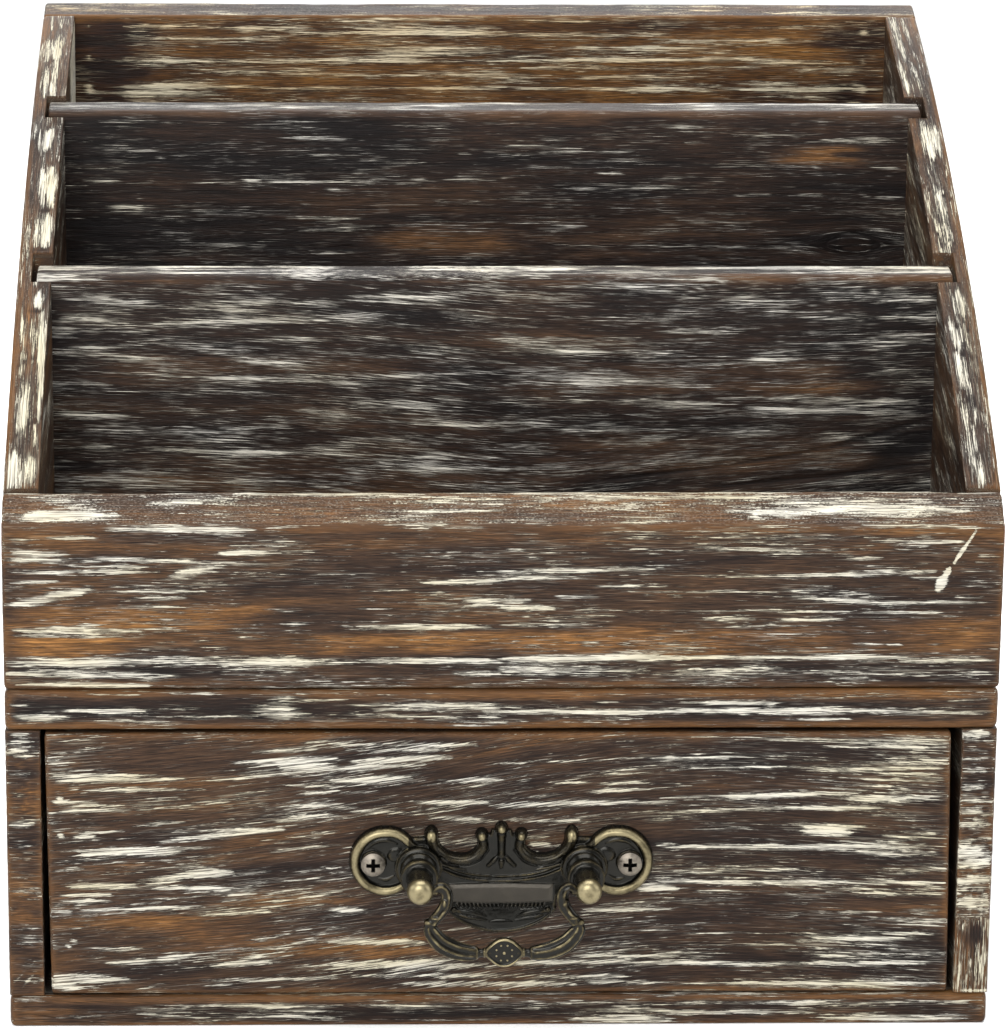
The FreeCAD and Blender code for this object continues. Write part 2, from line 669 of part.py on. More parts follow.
plate_t = D["plate_thickness"]
lobe_x, lobe_z, lobe_r = D["lobe_pos"], D["lobe_height"], D["lobe_radius"]
outline = mirrored([(0.0, 54.2), (-1.5, 53.6), (-2.1, 51.5), (-2.5, 47.5), (-5.0, 43.6), (-9.6, 42.7),
                    (-13.2, 43.8), (-16.0, 46.8), (-19.5, 49.3), (-24.0, 50.5), (-26.5, 37.0), (-20.0, 36.6),
                    (-14.2, 35.2), (-13.6, 31.5), (-11.0, 29.1), (-8.1, 27.5), (-4.2, 26.1), (0.0, 25.6)])
plate = prism(outline, y_f - plate_t, y_f)
out = Vector(0, -1, 0)
for s in (-1, 1):
    plate = plate.fuse(Part.makeCylinder(lobe_r, plate_t, Vector(s * lobe_x, y_f, lobe_z), out))
plate = plate.fuse(prism(mirrored([(0.0, 39.3), (-13.2, 38.4), (-13.2, 32.2), (0.0, 32.2)]),
                         y_f - plate_t - 0.6, y_f - 0.5))
for s in (-1, 1):
    centre = Vector(s * lobe_x, y_f - plate_t, lobe_z)
    rim = Part.makeTorus(D["rim_radius"], D["rim_bead"], centre, out)
    # The rim opens where the post's flange stands.
    gap = Part.makeCylinder(D["post_flange"] + 0.6, 6.0, Vector(s * D["post_pos"], y_f - plate_t + 3.0, D["post_height"]), out)
    behind = Part.makeBox(30, 5, 30, Vector(s * lobe_x - 15, y_f - 0.4, lobe_z - 15))
    rim = rim.cut(gap).cut(behind)
    plate = plate.fuse(rim)
    # U-shaped scroll between two bulbs.
    a = Vector(s * 17.4, y_f - 1.9, 51.4)
    m = Vector(s * 10.6, y_f - 1.9, 44.6)
    b = Vector(s * 4.9, y_f - 1.9, 50.6)
    path = Part.Arc(a, m, b)
    wire = Part.Wire([path.toShape()])
    tangent = path.tangent(path.FirstParameter)[0]
    ring = Part.Wire([Part.Circle(a, tangent, 1.35).toShape()])
    plate = plate.fuse(wire.makePipeShell([ring], True, False))
    plate = plate.fuse(Part.makeSphere(1.9, a))
    plate = plate.fuse(Part.makeSphere(1.75, b))
plate = plate.fuse(Part.makeSphere(1.55, Vector(0, y_f - 1.6, 53.1)))
half_space = Part.makeBox(90, 10, 50, Vector(-45, y_f, 15))
plate = plate.cut(half_space)
for s in (-1, 1):
    plate = plate.cut(Part.makeCylinder(D["pull_screw_hole"], 12, Vector(s * hs, y_f + 2, D["pull_height"]), out))
    plate = plate.cut(Part.makeCylinder(D["post_tenon_hole"], 12, Vector(s * D["post_pos"], y_f + 2, D["post_height"]), out))
    # Flat seats for the screw heads and the post flanges.
    plate = plate.cut(Part.makeCylinder(D["pull_screw_head"] + 0.1, 6, Vector(s * hs, y_f - plate_t, D["pull_height"]), out))
    plate = plate.cut(Part.makeCylinder(D["post_flange"] + 0.1, 6, Vector(s * D["post_pos"], y_f - plate_t, D["post_height"]), out))
backplate = doc.addObject("Part::Feature", "pull_backplate")
backplate.Label = "pull_backplate"
backplate.Shape = plate
NODES.append(backplate)


def pull_post(name, sign):
    """Turned post: tenon, stepped flange and collar, shaft with domed end.
    The bail's pin sits in a blind bore in its inner side."""
    b = body(name, (dim("post_pos") * sign, front_y, dim("post_height")))
    ten, fl, co, sh = dim("post_tenon"), dim("post_flange"), dim("post_collar"), dim("post_shaft")
    reach = dim("post_reach")
    seat = -dim("plate_thickness")
    # Half profile in the XY plane: X is the radius, Y runs along the post.
    pts = [(0, 0), (ten, 0), (ten, seat), (fl, seat), (fl, seat - 1.4), (fl - 0.9, seat - 2.4),
           (co - 1.2, seat - 3.0), (co - 1.2, seat - 6.2), (co, seat - 7.4), (co, seat - 8.4),
           (sh, seat - 9.4), (sh, -reach), (sh - 0.75, -(reach + 1.45)), (sh - 1.8, -(reach + 2.15)),
           (0, -(reach + 2.4))]
    sk = polygon(b, name + "_profile", "XY_Plane", pts)
    rev = b.newObject("PartDesign::Revolution", name + "_turned")
    rev.Profile = sk
    rev.ReferenceAxis = (sk, ["V_Axis"])
    rev.Angle = 360.0
    doc.recompute()
    sk = circles(b, name + "_pivot", "YZ_Plane", [(-reach, 0)], dim("bail_bore"))
    # The bore starts inside the shaft and leaves through its inner side.
    before = b.Shape.Volume
    f = b.newObject("PartDesign::Pocket", name + "_pivot_bore")
    f.Profile = sk
    f.Length = 6.0
    f.Reversed = sign < 0
    doc.recompute()
    if not b.Shape.Volume < before - 0.5:
        raise RuntimeError(name + " bore cut nothing")
    return b


pull_post("pull_left_post", -1)
pull_post("pull_right_post", 1)


def rounded_path(points, factor=0.46):
    """Straight runs joined by tangent arcs."""
    edges = []
    last = points[0]
    for i in range(1, len(points) - 1):
        a, p, c = points[i - 1], points[i], points[i + 1]
        u = (a - p).normalize()
        v = (c - p).normalize()
        angle = math.acos(max(-1.0, min(1.0, u.dot(v))))
        if math.pi - angle < 1e-3:
            continue
        cut = factor * min((a - p).Length, (c - p).Length)
        start, end = p + u * cut, p + v * cut
        radius = cut * math.tan(angle / 2)
        bis = (u + v).normalize()
        centre = p + bis * (radius / math.sin(angle / 2))
        mid = centre - bis * radius
        if (start - last).Length > 1e-6:
            edges.append(Part.LineSegment(last, start).toShape())
        edges.append(Part.Arc(start, mid, end).toShape())
        last = end
    edges.append(Part.LineSegment(last, points[-1]).toShape())
    return Part.Wire(edges)


y_a = y_f - D["post_reach"]
z_a = D["post_height"]
half_path = [(-16.9, z_a), (-15.0, z_a + 0.35), (-14.5, z_a - 1.9), (-16.1, z_a - 4.6), (-17.7, z_a - 6.8),
             (-18.5, z_a - 8.8), (-17.8, z_a - 11.7), (-15.5, z_a - 14.6), (-11.9, z_a - 16.3),
             (-8.0, z_a - 16.6), (-4.5, z_a - 16.2), (0.0, z_a - 15.9)]
pts = [Vector(x, y_a, z) for x, z in half_path[:-1]]
pts += [Vector(-x, y_a, z) for x, z in reversed(half_path[:-1])]
wire = rounded_path(pts)
first = (pts[1] - pts[0]).normalize()
ring = Part.Wire([Part.Circle(pts[0], first, D["bail_rod"]).toShape()])
bail = wire.makePipeShell([ring], True, False)
for s in (-1, 1):
    bail = bail.fuse(Part.makeCylinder(D["bail_pin"], 3.9, Vector(16.3 * s, y_a, z_a), Vector(s, 0, 0)))
z_m = z_a - D["medallion_drop"]
medal = Part.makeCylinder(D["medallion_radius"], 2.9, Vector(0, y_a + 1.3, z_m), Vector(0, -1, 0))
medal = medal.makeFillet(0.7, [e for e in medal.Edges if e.Curve.TypeId == "Part::GeomCircle"])
bail = bail.fuse(medal)
if not bail.isValid():
    raise RuntimeError("bail is not valid")
pull_bail = doc.addObject("Part::Feature", "pull_bail")
pull_bail.Label = "pull_bail"
pull_bail.Shape = bail
NODES.append(pull_bail)

# ----------------------------------------------------------------------
# Check and write every piece
# ----------------------------------------------------------------------
doc.recompute()
bad = []
for obj in doc.Objects:
    for word in obj.State:
        if word in ("Invalid", "Error"):
            bad.append("%s: %s" % (obj.Name, word))
for node in NODES:
    if node.Shape.isNull() or not node.Shape.isValid():
        bad.append("%s: shape" % node.Label)
if bad:
    raise RuntimeError("; ".join(bad))
if len({n.Label for n in NODES}) != len(NODES):
    raise RuntimeError("duplicate labels")
for node in NODES:
    box = node.Shape.BoundBox
    node.Shape.exportStep("parts/%s.step" % node.Label)
    print("%-24s solids %d vol %9.1f  x %.1f %.1f  y %.1f %.1f  z %.1f %.1f" % (
        node.Label, len(node.Shape.Solids), node.Shape.Volume,
        box.XMin, box.XMax, box.YMin, box.YMax, box.ZMin, box.ZMax))
print("nodes", len(NODES))
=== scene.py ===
import math
import bpy
import bmesh
import numpy as np
from mathutils import Vector, Matrix


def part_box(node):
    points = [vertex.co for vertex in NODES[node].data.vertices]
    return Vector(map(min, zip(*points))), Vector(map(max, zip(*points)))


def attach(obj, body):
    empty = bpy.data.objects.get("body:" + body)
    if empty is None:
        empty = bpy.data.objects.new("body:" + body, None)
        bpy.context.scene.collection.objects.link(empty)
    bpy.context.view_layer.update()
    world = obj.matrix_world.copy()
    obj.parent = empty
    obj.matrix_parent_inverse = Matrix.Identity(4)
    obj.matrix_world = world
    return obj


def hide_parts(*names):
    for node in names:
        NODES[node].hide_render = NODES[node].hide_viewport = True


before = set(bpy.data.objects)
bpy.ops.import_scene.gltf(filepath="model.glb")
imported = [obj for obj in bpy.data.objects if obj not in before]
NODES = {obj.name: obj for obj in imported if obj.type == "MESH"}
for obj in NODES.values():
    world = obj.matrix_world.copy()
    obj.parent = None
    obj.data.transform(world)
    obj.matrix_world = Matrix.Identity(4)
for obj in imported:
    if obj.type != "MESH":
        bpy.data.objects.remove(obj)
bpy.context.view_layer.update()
MM = 0.001


# ----------------------------------------------------------------------
# Camera. It comes first, because marks on the boards are placed from it.
# ----------------------------------------------------------------------
IMAGE_W, IMAGE_H = 1005.0, 1028.0
FOCAL_PX = 3790.04
CENTRE_U, CENTRE_V = 399.7, 411.2
PITCH, YAW, ROLL = math.radians(12.560), math.radians(1.150), math.radians(-0.226)
EYE = np.array([-44.45, -1001.55, 363.95])

_fw = np.array([math.sin(YAW) * math.cos(PITCH), math.cos(YAW) * math.cos(PITCH), -math.sin(PITCH)])
_rt = np.array([math.cos(YAW), -math.sin(YAW), 0.0])
_dn = np.cross(_fw, _rt)
RIGHT = _rt * math.cos(ROLL) + _dn * math.sin(ROLL)
DOWN = -_rt * math.sin(ROLL) + _dn * math.cos(ROLL)
AHEAD = _fw


def make_camera():
    data = bpy.data.cameras.new("photo_camera")
    data.sensor_width = 36.0
    data.sensor_fit = "AUTO"
    data.lens = FOCAL_PX / IMAGE_H * 36.0
    data.shift_x = (IMAGE_W / 2 - CENTRE_U) / IMAGE_H
    data.shift_y = -(IMAGE_H / 2 - CENTRE_V) / IMAGE_H
    data.clip_start = 0.05
    data.clip_end = 20.0
    cam = bpy.data.objects.new("photo_camera", data)
    bpy.context.scene.collection.objects.link(cam)
    m = Matrix.Identity(4)
    for r in range(3):
        m[r][0] = RIGHT[r]
        m[r][1] = -DOWN[r]
        m[r][2] = -AHEAD[r]
        m[r][3] = EYE[r] * MM
    cam.matrix_world = m
    bpy.context.scene.camera = cam
    return cam


camera = make_camera()


def seen_on(u, v, axis, value):
    """Point in mm where the line of sight through an image position meets a plane x, y or z = value."""
    d = AHEAD * FOCAL_PX + RIGHT * (u - CENTRE_U) + DOWN * (v - CENTRE_V)
    i = "xyz".index(axis)
    t = (value - EYE[i]) / d[i]
    return EYE + d * t


def seen_on_slant(u, v, point, normal):
    """The same for a slanted plane."""
    d = AHEAD * FOCAL_PX + RIGHT * (u - CENTRE_U) + DOWN * (v - CENTRE_V)
    point, normal = np.array(point, float), np.array(normal, float)
    t = ((point - EYE) @ normal) / (d @ normal)
    return EYE + d * t


def seen_on_slope(u, v, height):
    """The same for a surface z = height(y) that rises to the back."""
    d = AHEAD * FOCAL_PX + RIGHT * (u - CENTRE_U) + DOWN * (v - CENTRE_V)
    lo, hi = -95.0, 95.0
    for _ in range(40):
        y = (lo + hi) / 2
        p = EYE + d * ((y - EYE[1]) / d[1])
        if p[2] > height(min(max(y, -81.0), 81.0)):
            lo = y
        else:
            hi = y
    return p


# ----------------------------------------------------------------------
# Seeded noise on arrays
# ----------------------------------------------------------------------
def _hash(ix, iy, iz, seed):
    h = (ix * 374761393 + iy * 668265263 + iz * 1442695041 + seed * 974634777) & 0xFFFFFFFF
    h = ((h ^ (h >> 13)) * 1274126177) & 0xFFFFFFFF
    h = ((h ^ (h >> 16)) * 2246822519) & 0xFFFFFFFF
    h = h ^ (h >> 15)
    return (h & 0xFFFFFF) / float(0xFFFFFF)


def vnoise(x, y, z, seed=0):
    """Smooth value noise from 0 to 1."""
    x, y, z = np.broadcast_arrays(np.asarray(x, float), np.asarray(y, float), np.asarray(z, float))
    fx, fy, fz = np.floor(x), np.floor(y), np.floor(z)
    ix, iy, iz = fx.astype(np.int64), fy.astype(np.int64), fz.astype(np.int64)
    tx, ty, tz = x - fx, y - fy, z - fz
    tx, ty, tz = (t * t * (3 - 2 * t) for t in (tx, ty, tz))
    out = 0.0
    for a in (0, 1):
        wx = tx if a else 1 - tx
        for b in (0, 1):
            wy = ty if b else 1 - ty
            for c in (0, 1):
                wz = tz if c else 1 - tz
                out = out + _hash(ix + a, iy + b, iz + c, seed) * wx * wy * wz
    return out


def fnoise(x, y, z, seed=0, octaves=3):
    out, amp, total = 0.0, 1.0, 0.0
    for k in range(octaves):
        f = 2.0 ** k
        out = out + amp * vnoise(np.asarray(x) * f, np.asarray(y) * f, np.asarray(z) * f, seed + 17 * k)
        total += amp
        amp *= 0.5
    return out / total


# ----------------------------------------------------------------------
# Boards: a rounded section swept along the board, dense enough to carry
# wear, relief and brush marks
# ----------------------------------------------------------------------
def parts(*runs):
    """Fractions of a side: runs of (from, to, pieces)."""
    out = []
    for a, b, n in runs:
        out += [a + (b - a) * i / n for i in range(n)]
    return np.array(out)


def even(n):
    return parts((0.0, 1.0, n))


def rounded_loop(corners, radii, cuts, seg=5):
    """corners (S,4,2), radii (S,4), cuts four arrays of fractions. Returns points (S,P,2), and for each
    point its side (0 to 3) or corner (4 to 7)."""
    pts, tags = [], []
    prev = np.roll(corners, 1, axis=1)
    nxt = np.roll(corners, -1, axis=1)
    d_in = corners - prev
    d_in = d_in / np.linalg.norm(d_in, axis=2, keepdims=True)
    d_out = nxt - corners
    d_out = d_out / np.linalg.norm(d_out, axis=2, keepdims=True)
    turn = np.arccos(np.clip((d_in * d_out).sum(2), -1, 1))
    back = radii * np.tan(turn / 2)
    start = corners - d_in * back[..., None]
    end = corners + d_out * back[..., None]
    side_sign = np.sign(d_in[..., 0] * d_out[..., 1] - d_in[..., 1] * d_out[..., 0])
    normal = np.stack([-d_in[..., 1], d_in[..., 0]], axis=2) * side_sign[..., None]
    centre = start + normal * radii[..., None]
    for i in range(4):
        j = (i + 1) % 4
        for f in cuts[i]:
            pts.append(end[:, i] * (1 - f) + start[:, j] * f)
            tags.append(i)
        for k in range(seg):
            t = turn[:, j] * k / seg
            r0 = start[:, j] - centre[:, j]
            s = side_sign[:, j]
            c, q = np.cos(t), np.sin(t) * s
            rot = np.stack([r0[:, 0] * c - r0[:, 1] * q, r0[:, 0] * q + r0[:, 1] * c], axis=1)
            pts.append(centre[:, j] + rot)
            tags.append(4 + j)
    return np.stack(pts, axis=1), np.array(tags)


class Board:
    """Mesh of one board, with its fields for the material."""

    def __init__(self, name, node, body, axis, a0, a1, step, corners, radii, cuts, end_round=1.0,
                 grain=None, seed=1, wear=0.35, warp=None, look=None, slot="torched_wood", material=None,
                 relief=0.05, stations=()):
        self.name, self.node, self.body, self.axis = name, node, body, axis
        r = end_round
        ends = [r * (1 - math.cos(math.radians(t))) for t in (0, 22.5, 45, 67.5)]
        inner = np.linspace(a0 + r, a1 - r, max(2, int(round((a1 - a0 - 2 * r) / step)) + 1))
        if stations:
            keep = np.min(np.abs(inner[:, None] - np.array(stations)[None, :]), axis=1) > 0.2
            keep[0] = keep[-1] = True
            inner = np.sort(np.concatenate([inner[keep], stations]))
        along = np.concatenate([a0 + np.array(ends), inner, (a1 - np.array(ends))[::-1]])
        inset = np.concatenate([
            [r * (1 - math.sin(math.radians(t))) for t in (0, 22.5, 45, 67.5)],
            np.zeros(len(inner)),
            [r * (1 - math.sin(math.radians(t))) for t in (67.5, 45, 22.5, 0)]])
        cor = np.array([corners(a) if callable(corners) else corners for a in along], float)
        rad = np.array([radii] * len(along), float)
        # worn edges: the rounding differs along the board
        for i in range(4):
            n = fnoise(along / 23.0, i * 7.3, seed * 3.1, seed, 3)
            m = fnoise(along / 6.0, i * 5.3, seed * 2.1, seed + 5, 2)
            rad[:, i] *= 1.0 + wear * (n - 0.5) * 2.0 + wear * 0.5 * (m - 0.5)
        centre = cor.mean(axis=1, keepdims=True)
        cor = cor - np.sign(cor - centre) * inset[:, None, None]
        pts, tags = rounded_loop(cor, np.maximum(rad, 0.12), cuts)
        S, P = pts.shape[:2]
        pos = np.zeros((S, P, 3))
        if axis == "x":
            pos[..., 0], pos[..., 1], pos[..., 2] = along[:, None], pts[..., 0], pts[..., 1]
        elif axis == "y":
            pos[..., 1], pos[..., 0], pos[..., 2] = along[:, None], pts[..., 0], pts[..., 1]
        else:
            pos[..., 2], pos[..., 0], pos[..., 1] = along[:, None], pts[..., 0], pts[..., 1]
        if warp is not None:
            pos = warp(pos)
        self.pos = pos
        # edge wear, from the distance to the nearest rounded corner along the loop and to the ends
        seg_len = np.linalg.norm(np.roll(pts, -1, axis=1) - pts, axis=2)
        cum = np.concatenate([np.zeros((S, 1)), np.cumsum(seg_len, axis=1)], axis=1)
        total = cum[:, -1:]
        cum = cum[:, :-1]
        dist = np.full((S, P), 1e3)
        for j in range(4):
            k = np.where(tags == 4 + j)[0]
            mid = cum[:, k].mean(axis=1, keepdims=True)
            half = (cum[:, k[-1:]] - cum[:, k[:1]]) / 2
            d = np.abs(cum - mid)
            d = np.minimum(d, total - d) - half
            dist = np.minimum(dist, np.maximum(d, 0))
        end_d = np.minimum(along - a0, a1 - along)[:, None] - r
        dist = np.minimum(dist, np.maximum(end_d, 0))
        self.edge = np.exp(-(dist / 1.3) ** 1.5)
        self.edge_distance = dist
        self.tags = np.broadcast_to(tags[None, :], (S, P))
        self.S, self.P = S, P
        self.seed = seed
        if grain is None:
            along_i = "xyz".index(axis)
            others = [i for i in range(3) if i != along_i]

            def grain(p, t):
                return np.stack([p[..., along_i], p[..., others[1]], p[..., others[0]]], axis=-1)
        self.grain_of = grain
        self.look_of = look
        self.slot = slot
        self.material = material
        self.relief = relief

    def normals(self, pos):
        du = np.roll(pos, -1, axis=1) - np.roll(pos, 1, axis=1)
        ds = np.zeros_like(pos)
        ds[1:-1] = pos[2:] - pos[:-2]
        ds[0], ds[-1] = pos[1] - pos[0], pos[-1] - pos[-2]
        n = np.cross(ds, du)
        length = np.linalg.norm(n, axis=2, keepdims=True)
        n = n / np.maximum(length, 1e-9)
        c = pos.mean(axis=(0, 1), keepdims=True)
        if ((pos - c) * n).sum() < 0:
            n = -n
        return n

    def build(self):
        pos, S, P = self.pos, self.S, self.P
        g = self.grain_of(pos, self.tags)
        g = g + np.array([self.seed * 131.7, self.seed * 57.3, self.seed * 23.9])
        paint = np.zeros((S, P))
        tone = np.full((S, P), 0.5)
        dark = np.zeros((S, P))
        if self.look_of is not None:
            paint, tone, dark, g = self.look_of(self, pos, g, paint, tone, dark)
        # relief: soft hollows along the grain, and paint that stands proud
        n = self.normals(pos)
        fibre = fnoise(g[..., 0] / 18.0, g[..., 1] / 1.3, g[..., 2] / 1.3, self.seed, 2) - 0.5
        swell = fnoise(g[..., 0] / 55.0, g[..., 1] / 11.0, g[..., 2] / 11.0, self.seed + 3, 2) - 0.5
        h = -0.10 + 0.16 * fibre + 0.14 * swell + 0.05 * np.clip(paint, 0, 1) - 0.35 * np.clip(dark, 0, 1)
        pos = pos + n * np.clip(h, -0.5, 0.0)[..., None] * (self.relief / 0.05)
        verts = (pos.reshape(-1, 3) * MM)
        idx = np.arange(S * P).reshape(S, P)
        a = idx[:-1, :].ravel()
        b = np.roll(idx, -1, axis=1)[:-1, :].ravel()
        c = np.roll(idx, -1, axis=1)[1:, :].ravel()
        d = idx[1:, :].ravel()
        quads = np.stack([a, b, c, d], axis=1)
        # outward faces
        p = verts[quads]
        fn = np.cross(p[:, 1] - p[:, 0], p[:, 3] - p[:, 0])
        mid = p.mean(axis=1) - verts.mean(axis=0)
        if (fn * mid).sum() < 0:
            quads = quads[:, ::-1]
            caps = [list(idx[0]), list(idx[-1][::-1])]
        else:
            caps = [list(idx[0][::-1]), list(idx[-1])]
        me = bpy.data.meshes.new(self.name)
        nq = len(quads)
        loops = np.concatenate([quads.ravel(), caps[0], caps[1]]).astype(np.int32)
        starts = np.concatenate([np.arange(nq) * 4, [nq * 4, nq * 4 + P]]).astype(np.int32)
        me.vertices.add(S * P)
        me.vertices.foreach_set("co", verts.ravel().astype(np.float32))
        me.loops.add(len(loops))
        me.loops.foreach_set("vertex_index", loops)
        me.polygons.add(nq + 2)
        me.polygons.foreach_set("loop_start", starts)
        me.polygons.foreach_set("use_smooth", np.ones(nq + 2, bool))
        me.update(calc_edges=True)
        me.validate()
        me.set_sharp_from_angle(angle=math.radians(42))
        ga = me.attributes.new("gc", "FLOAT_VECTOR", "POINT")
        ga.data.foreach_set("vector", g.reshape(-1).astype(np.float32))
        la = me.attributes.new("look", "FLOAT_COLOR", "POINT")
        rgba = np.stack([paint, tone, self.edge, dark], axis=-1)
        la.data.foreach_set("color", rgba.reshape(-1).astype(np.float32))
        ob = bpy.data.objects.new(self.name, me)
        bpy.context.scene.collection.objects.link(ob)
        if self.material is not None:
            me.materials.append(self.material)
        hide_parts(self.node)
        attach(ob, self.body)
        self.ob = ob
        return ob


# ----------------------------------------------------------------------
# Node helpers
# ----------------------------------------------------------------------
class Nodes:
    def __init__(self, name):
        self.mat = bpy.data.materials.new(name)
        self.mat.use_nodes = True
        self.t = self.mat.node_tree
        self.t.nodes.clear()
        self.out = self.t.nodes.new("ShaderNodeOutputMaterial")
        self.bsdf = self.t.nodes.new("ShaderNodeBsdfPrincipled")
        self.t.links.new(self.bsdf.outputs[0], self.out.inputs["Surface"])

    def put(self, node, key, value):
        s = node.inputs[key]
        if isinstance(value, bpy.types.NodeSocket):
            self.t.links.new(value, s)
        elif isinstance(value, (tuple, list)):
            v = list(value)
            if s.type == "RGBA" and len(v) == 3:
                v = v + [1.0]
            s.default_value = v
        else:
            s.default_value = value

    def attr(self, name, out):
        n = self.t.nodes.new("ShaderNodeAttribute")
        n.attribute_name = name
        return n.outputs[out]

    def math(self, op, a, b=None, c=None, clamp=False):
        n = self.t.nodes.new("ShaderNodeMath")
        n.operation = op
        n.use_clamp = clamp
        for k, v in enumerate((a, b, c)):
            if v is not None:
                self.put(n, k, v)
        return n.outputs[0]

    def add(self, a, b):
        return self.math("ADD", a, b)

    def mul(self, a, b, clamp=False):
        return self.math("MULTIPLY", a, b, clamp=clamp)

    def vmul(self, v, k):
        n = self.t.nodes.new("ShaderNodeVectorMath")
        n.operation = "MULTIPLY"
        self.put(n, 0, v)
        self.put(n, 1, k)
        return n.outputs[0]

    def vadd(self, v, k):
        n = self.t.nodes.new("ShaderNodeVectorMath")
        n.operation = "ADD"
        self.put(n, 0, v)
        self.put(n, 1, k)
        return n.outputs[0]

    def noise(self, v, detail=2.0, rough=0.5, distortion=0.0, scale=1.0):
        n = self.t.nodes.new("ShaderNodeTexNoise")
        n.noise_dimensions = "3D"
        self.put(n, "Vector", v)
        self.put(n, "Scale", scale)
        self.put(n, "Detail", detail)
        self.put(n, "Roughness", rough)
        self.put(n, "Distortion", distortion)
        return n.outputs["Fac"]

    def smooth(self, v, lo, hi, a=0.0, b=1.0):
        n = self.t.nodes.new("ShaderNodeMapRange")
        n.interpolation_type = "SMOOTHSTEP"
        for k, x in (("Value", v), ("From Min", lo), ("From Max", hi), ("To Min", a), ("To Max", b)):
            self.put(n, k, x)
        return n.outputs["Result"]

    def linear(self, v, lo, hi, a=0.0, b=1.0):
        n = self.t.nodes.new("ShaderNodeMapRange")
        for k, x in (("Value", v), ("From Min", lo), ("From Max", hi), ("To Min", a), ("To Max", b)):
            self.put(n, k, x)
        return n.outputs["Result"]

    def mix(self, fac, a, b, mode="MIX"):
        n = self.t.nodes.new("ShaderNodeMix")
        n.data_type = "RGBA"
        n.blend_type = mode
        self.put(n, "Factor", fac)
        self.t_in(n, 6, a)
        self.t_in(n, 7, b)
        return n.outputs[2]

    def t_in(self, n, i, value):
        s = n.inputs[i]
        if isinstance(value, bpy.types.NodeSocket):
            self.t.links.new(value, s)
        else:
            s.default_value = tuple(value) + (1.0,) if len(value) == 3 else tuple(value)

    def ramp(self, fac, stops, mode="LINEAR"):
        n = self.t.nodes.new("ShaderNodeValToRGB")
        n.color_ramp.interpolation = mode
        el = n.color_ramp.elements
        while len(el) > 1:
            el.remove(el[-1])
        el[0].position = stops[0][0]
        el[0].color = tuple(stops[0][1]) + (1.0,)
        for p, c in stops[1:]:
            e = el.new(p)
            e.color = tuple(c) + (1.0,)
        self.put(n, "Fac", fac)
        return n.outputs["Color"]

    def bump(self, height, distance, strength=1.0, normal=None):
        n = self.t.nodes.new("ShaderNodeBump")
        self.put(n, "Height", height)
        self.put(n, "Distance", distance)
        self.put(n, "Strength", strength)
        if normal is not None:
            self.put(n, "Normal", normal)
        return n.outputs["Normal"]

    def split(self, color):
        n = self.t.nodes.new("ShaderNodeSeparateColor")
        self.put(n, "Color", color)
        return n.outputs[0], n.outputs[1], n.outputs[2]


def srgb(hexed):
    out = []
    for i in (0, 2, 4):
        c = int(hexed[i:i + 2], 16) / 255.0
        out.append(c / 12.92 if c <= 0.04045 else ((c + 0.055) / 1.055) ** 2.4)
    return tuple(out)


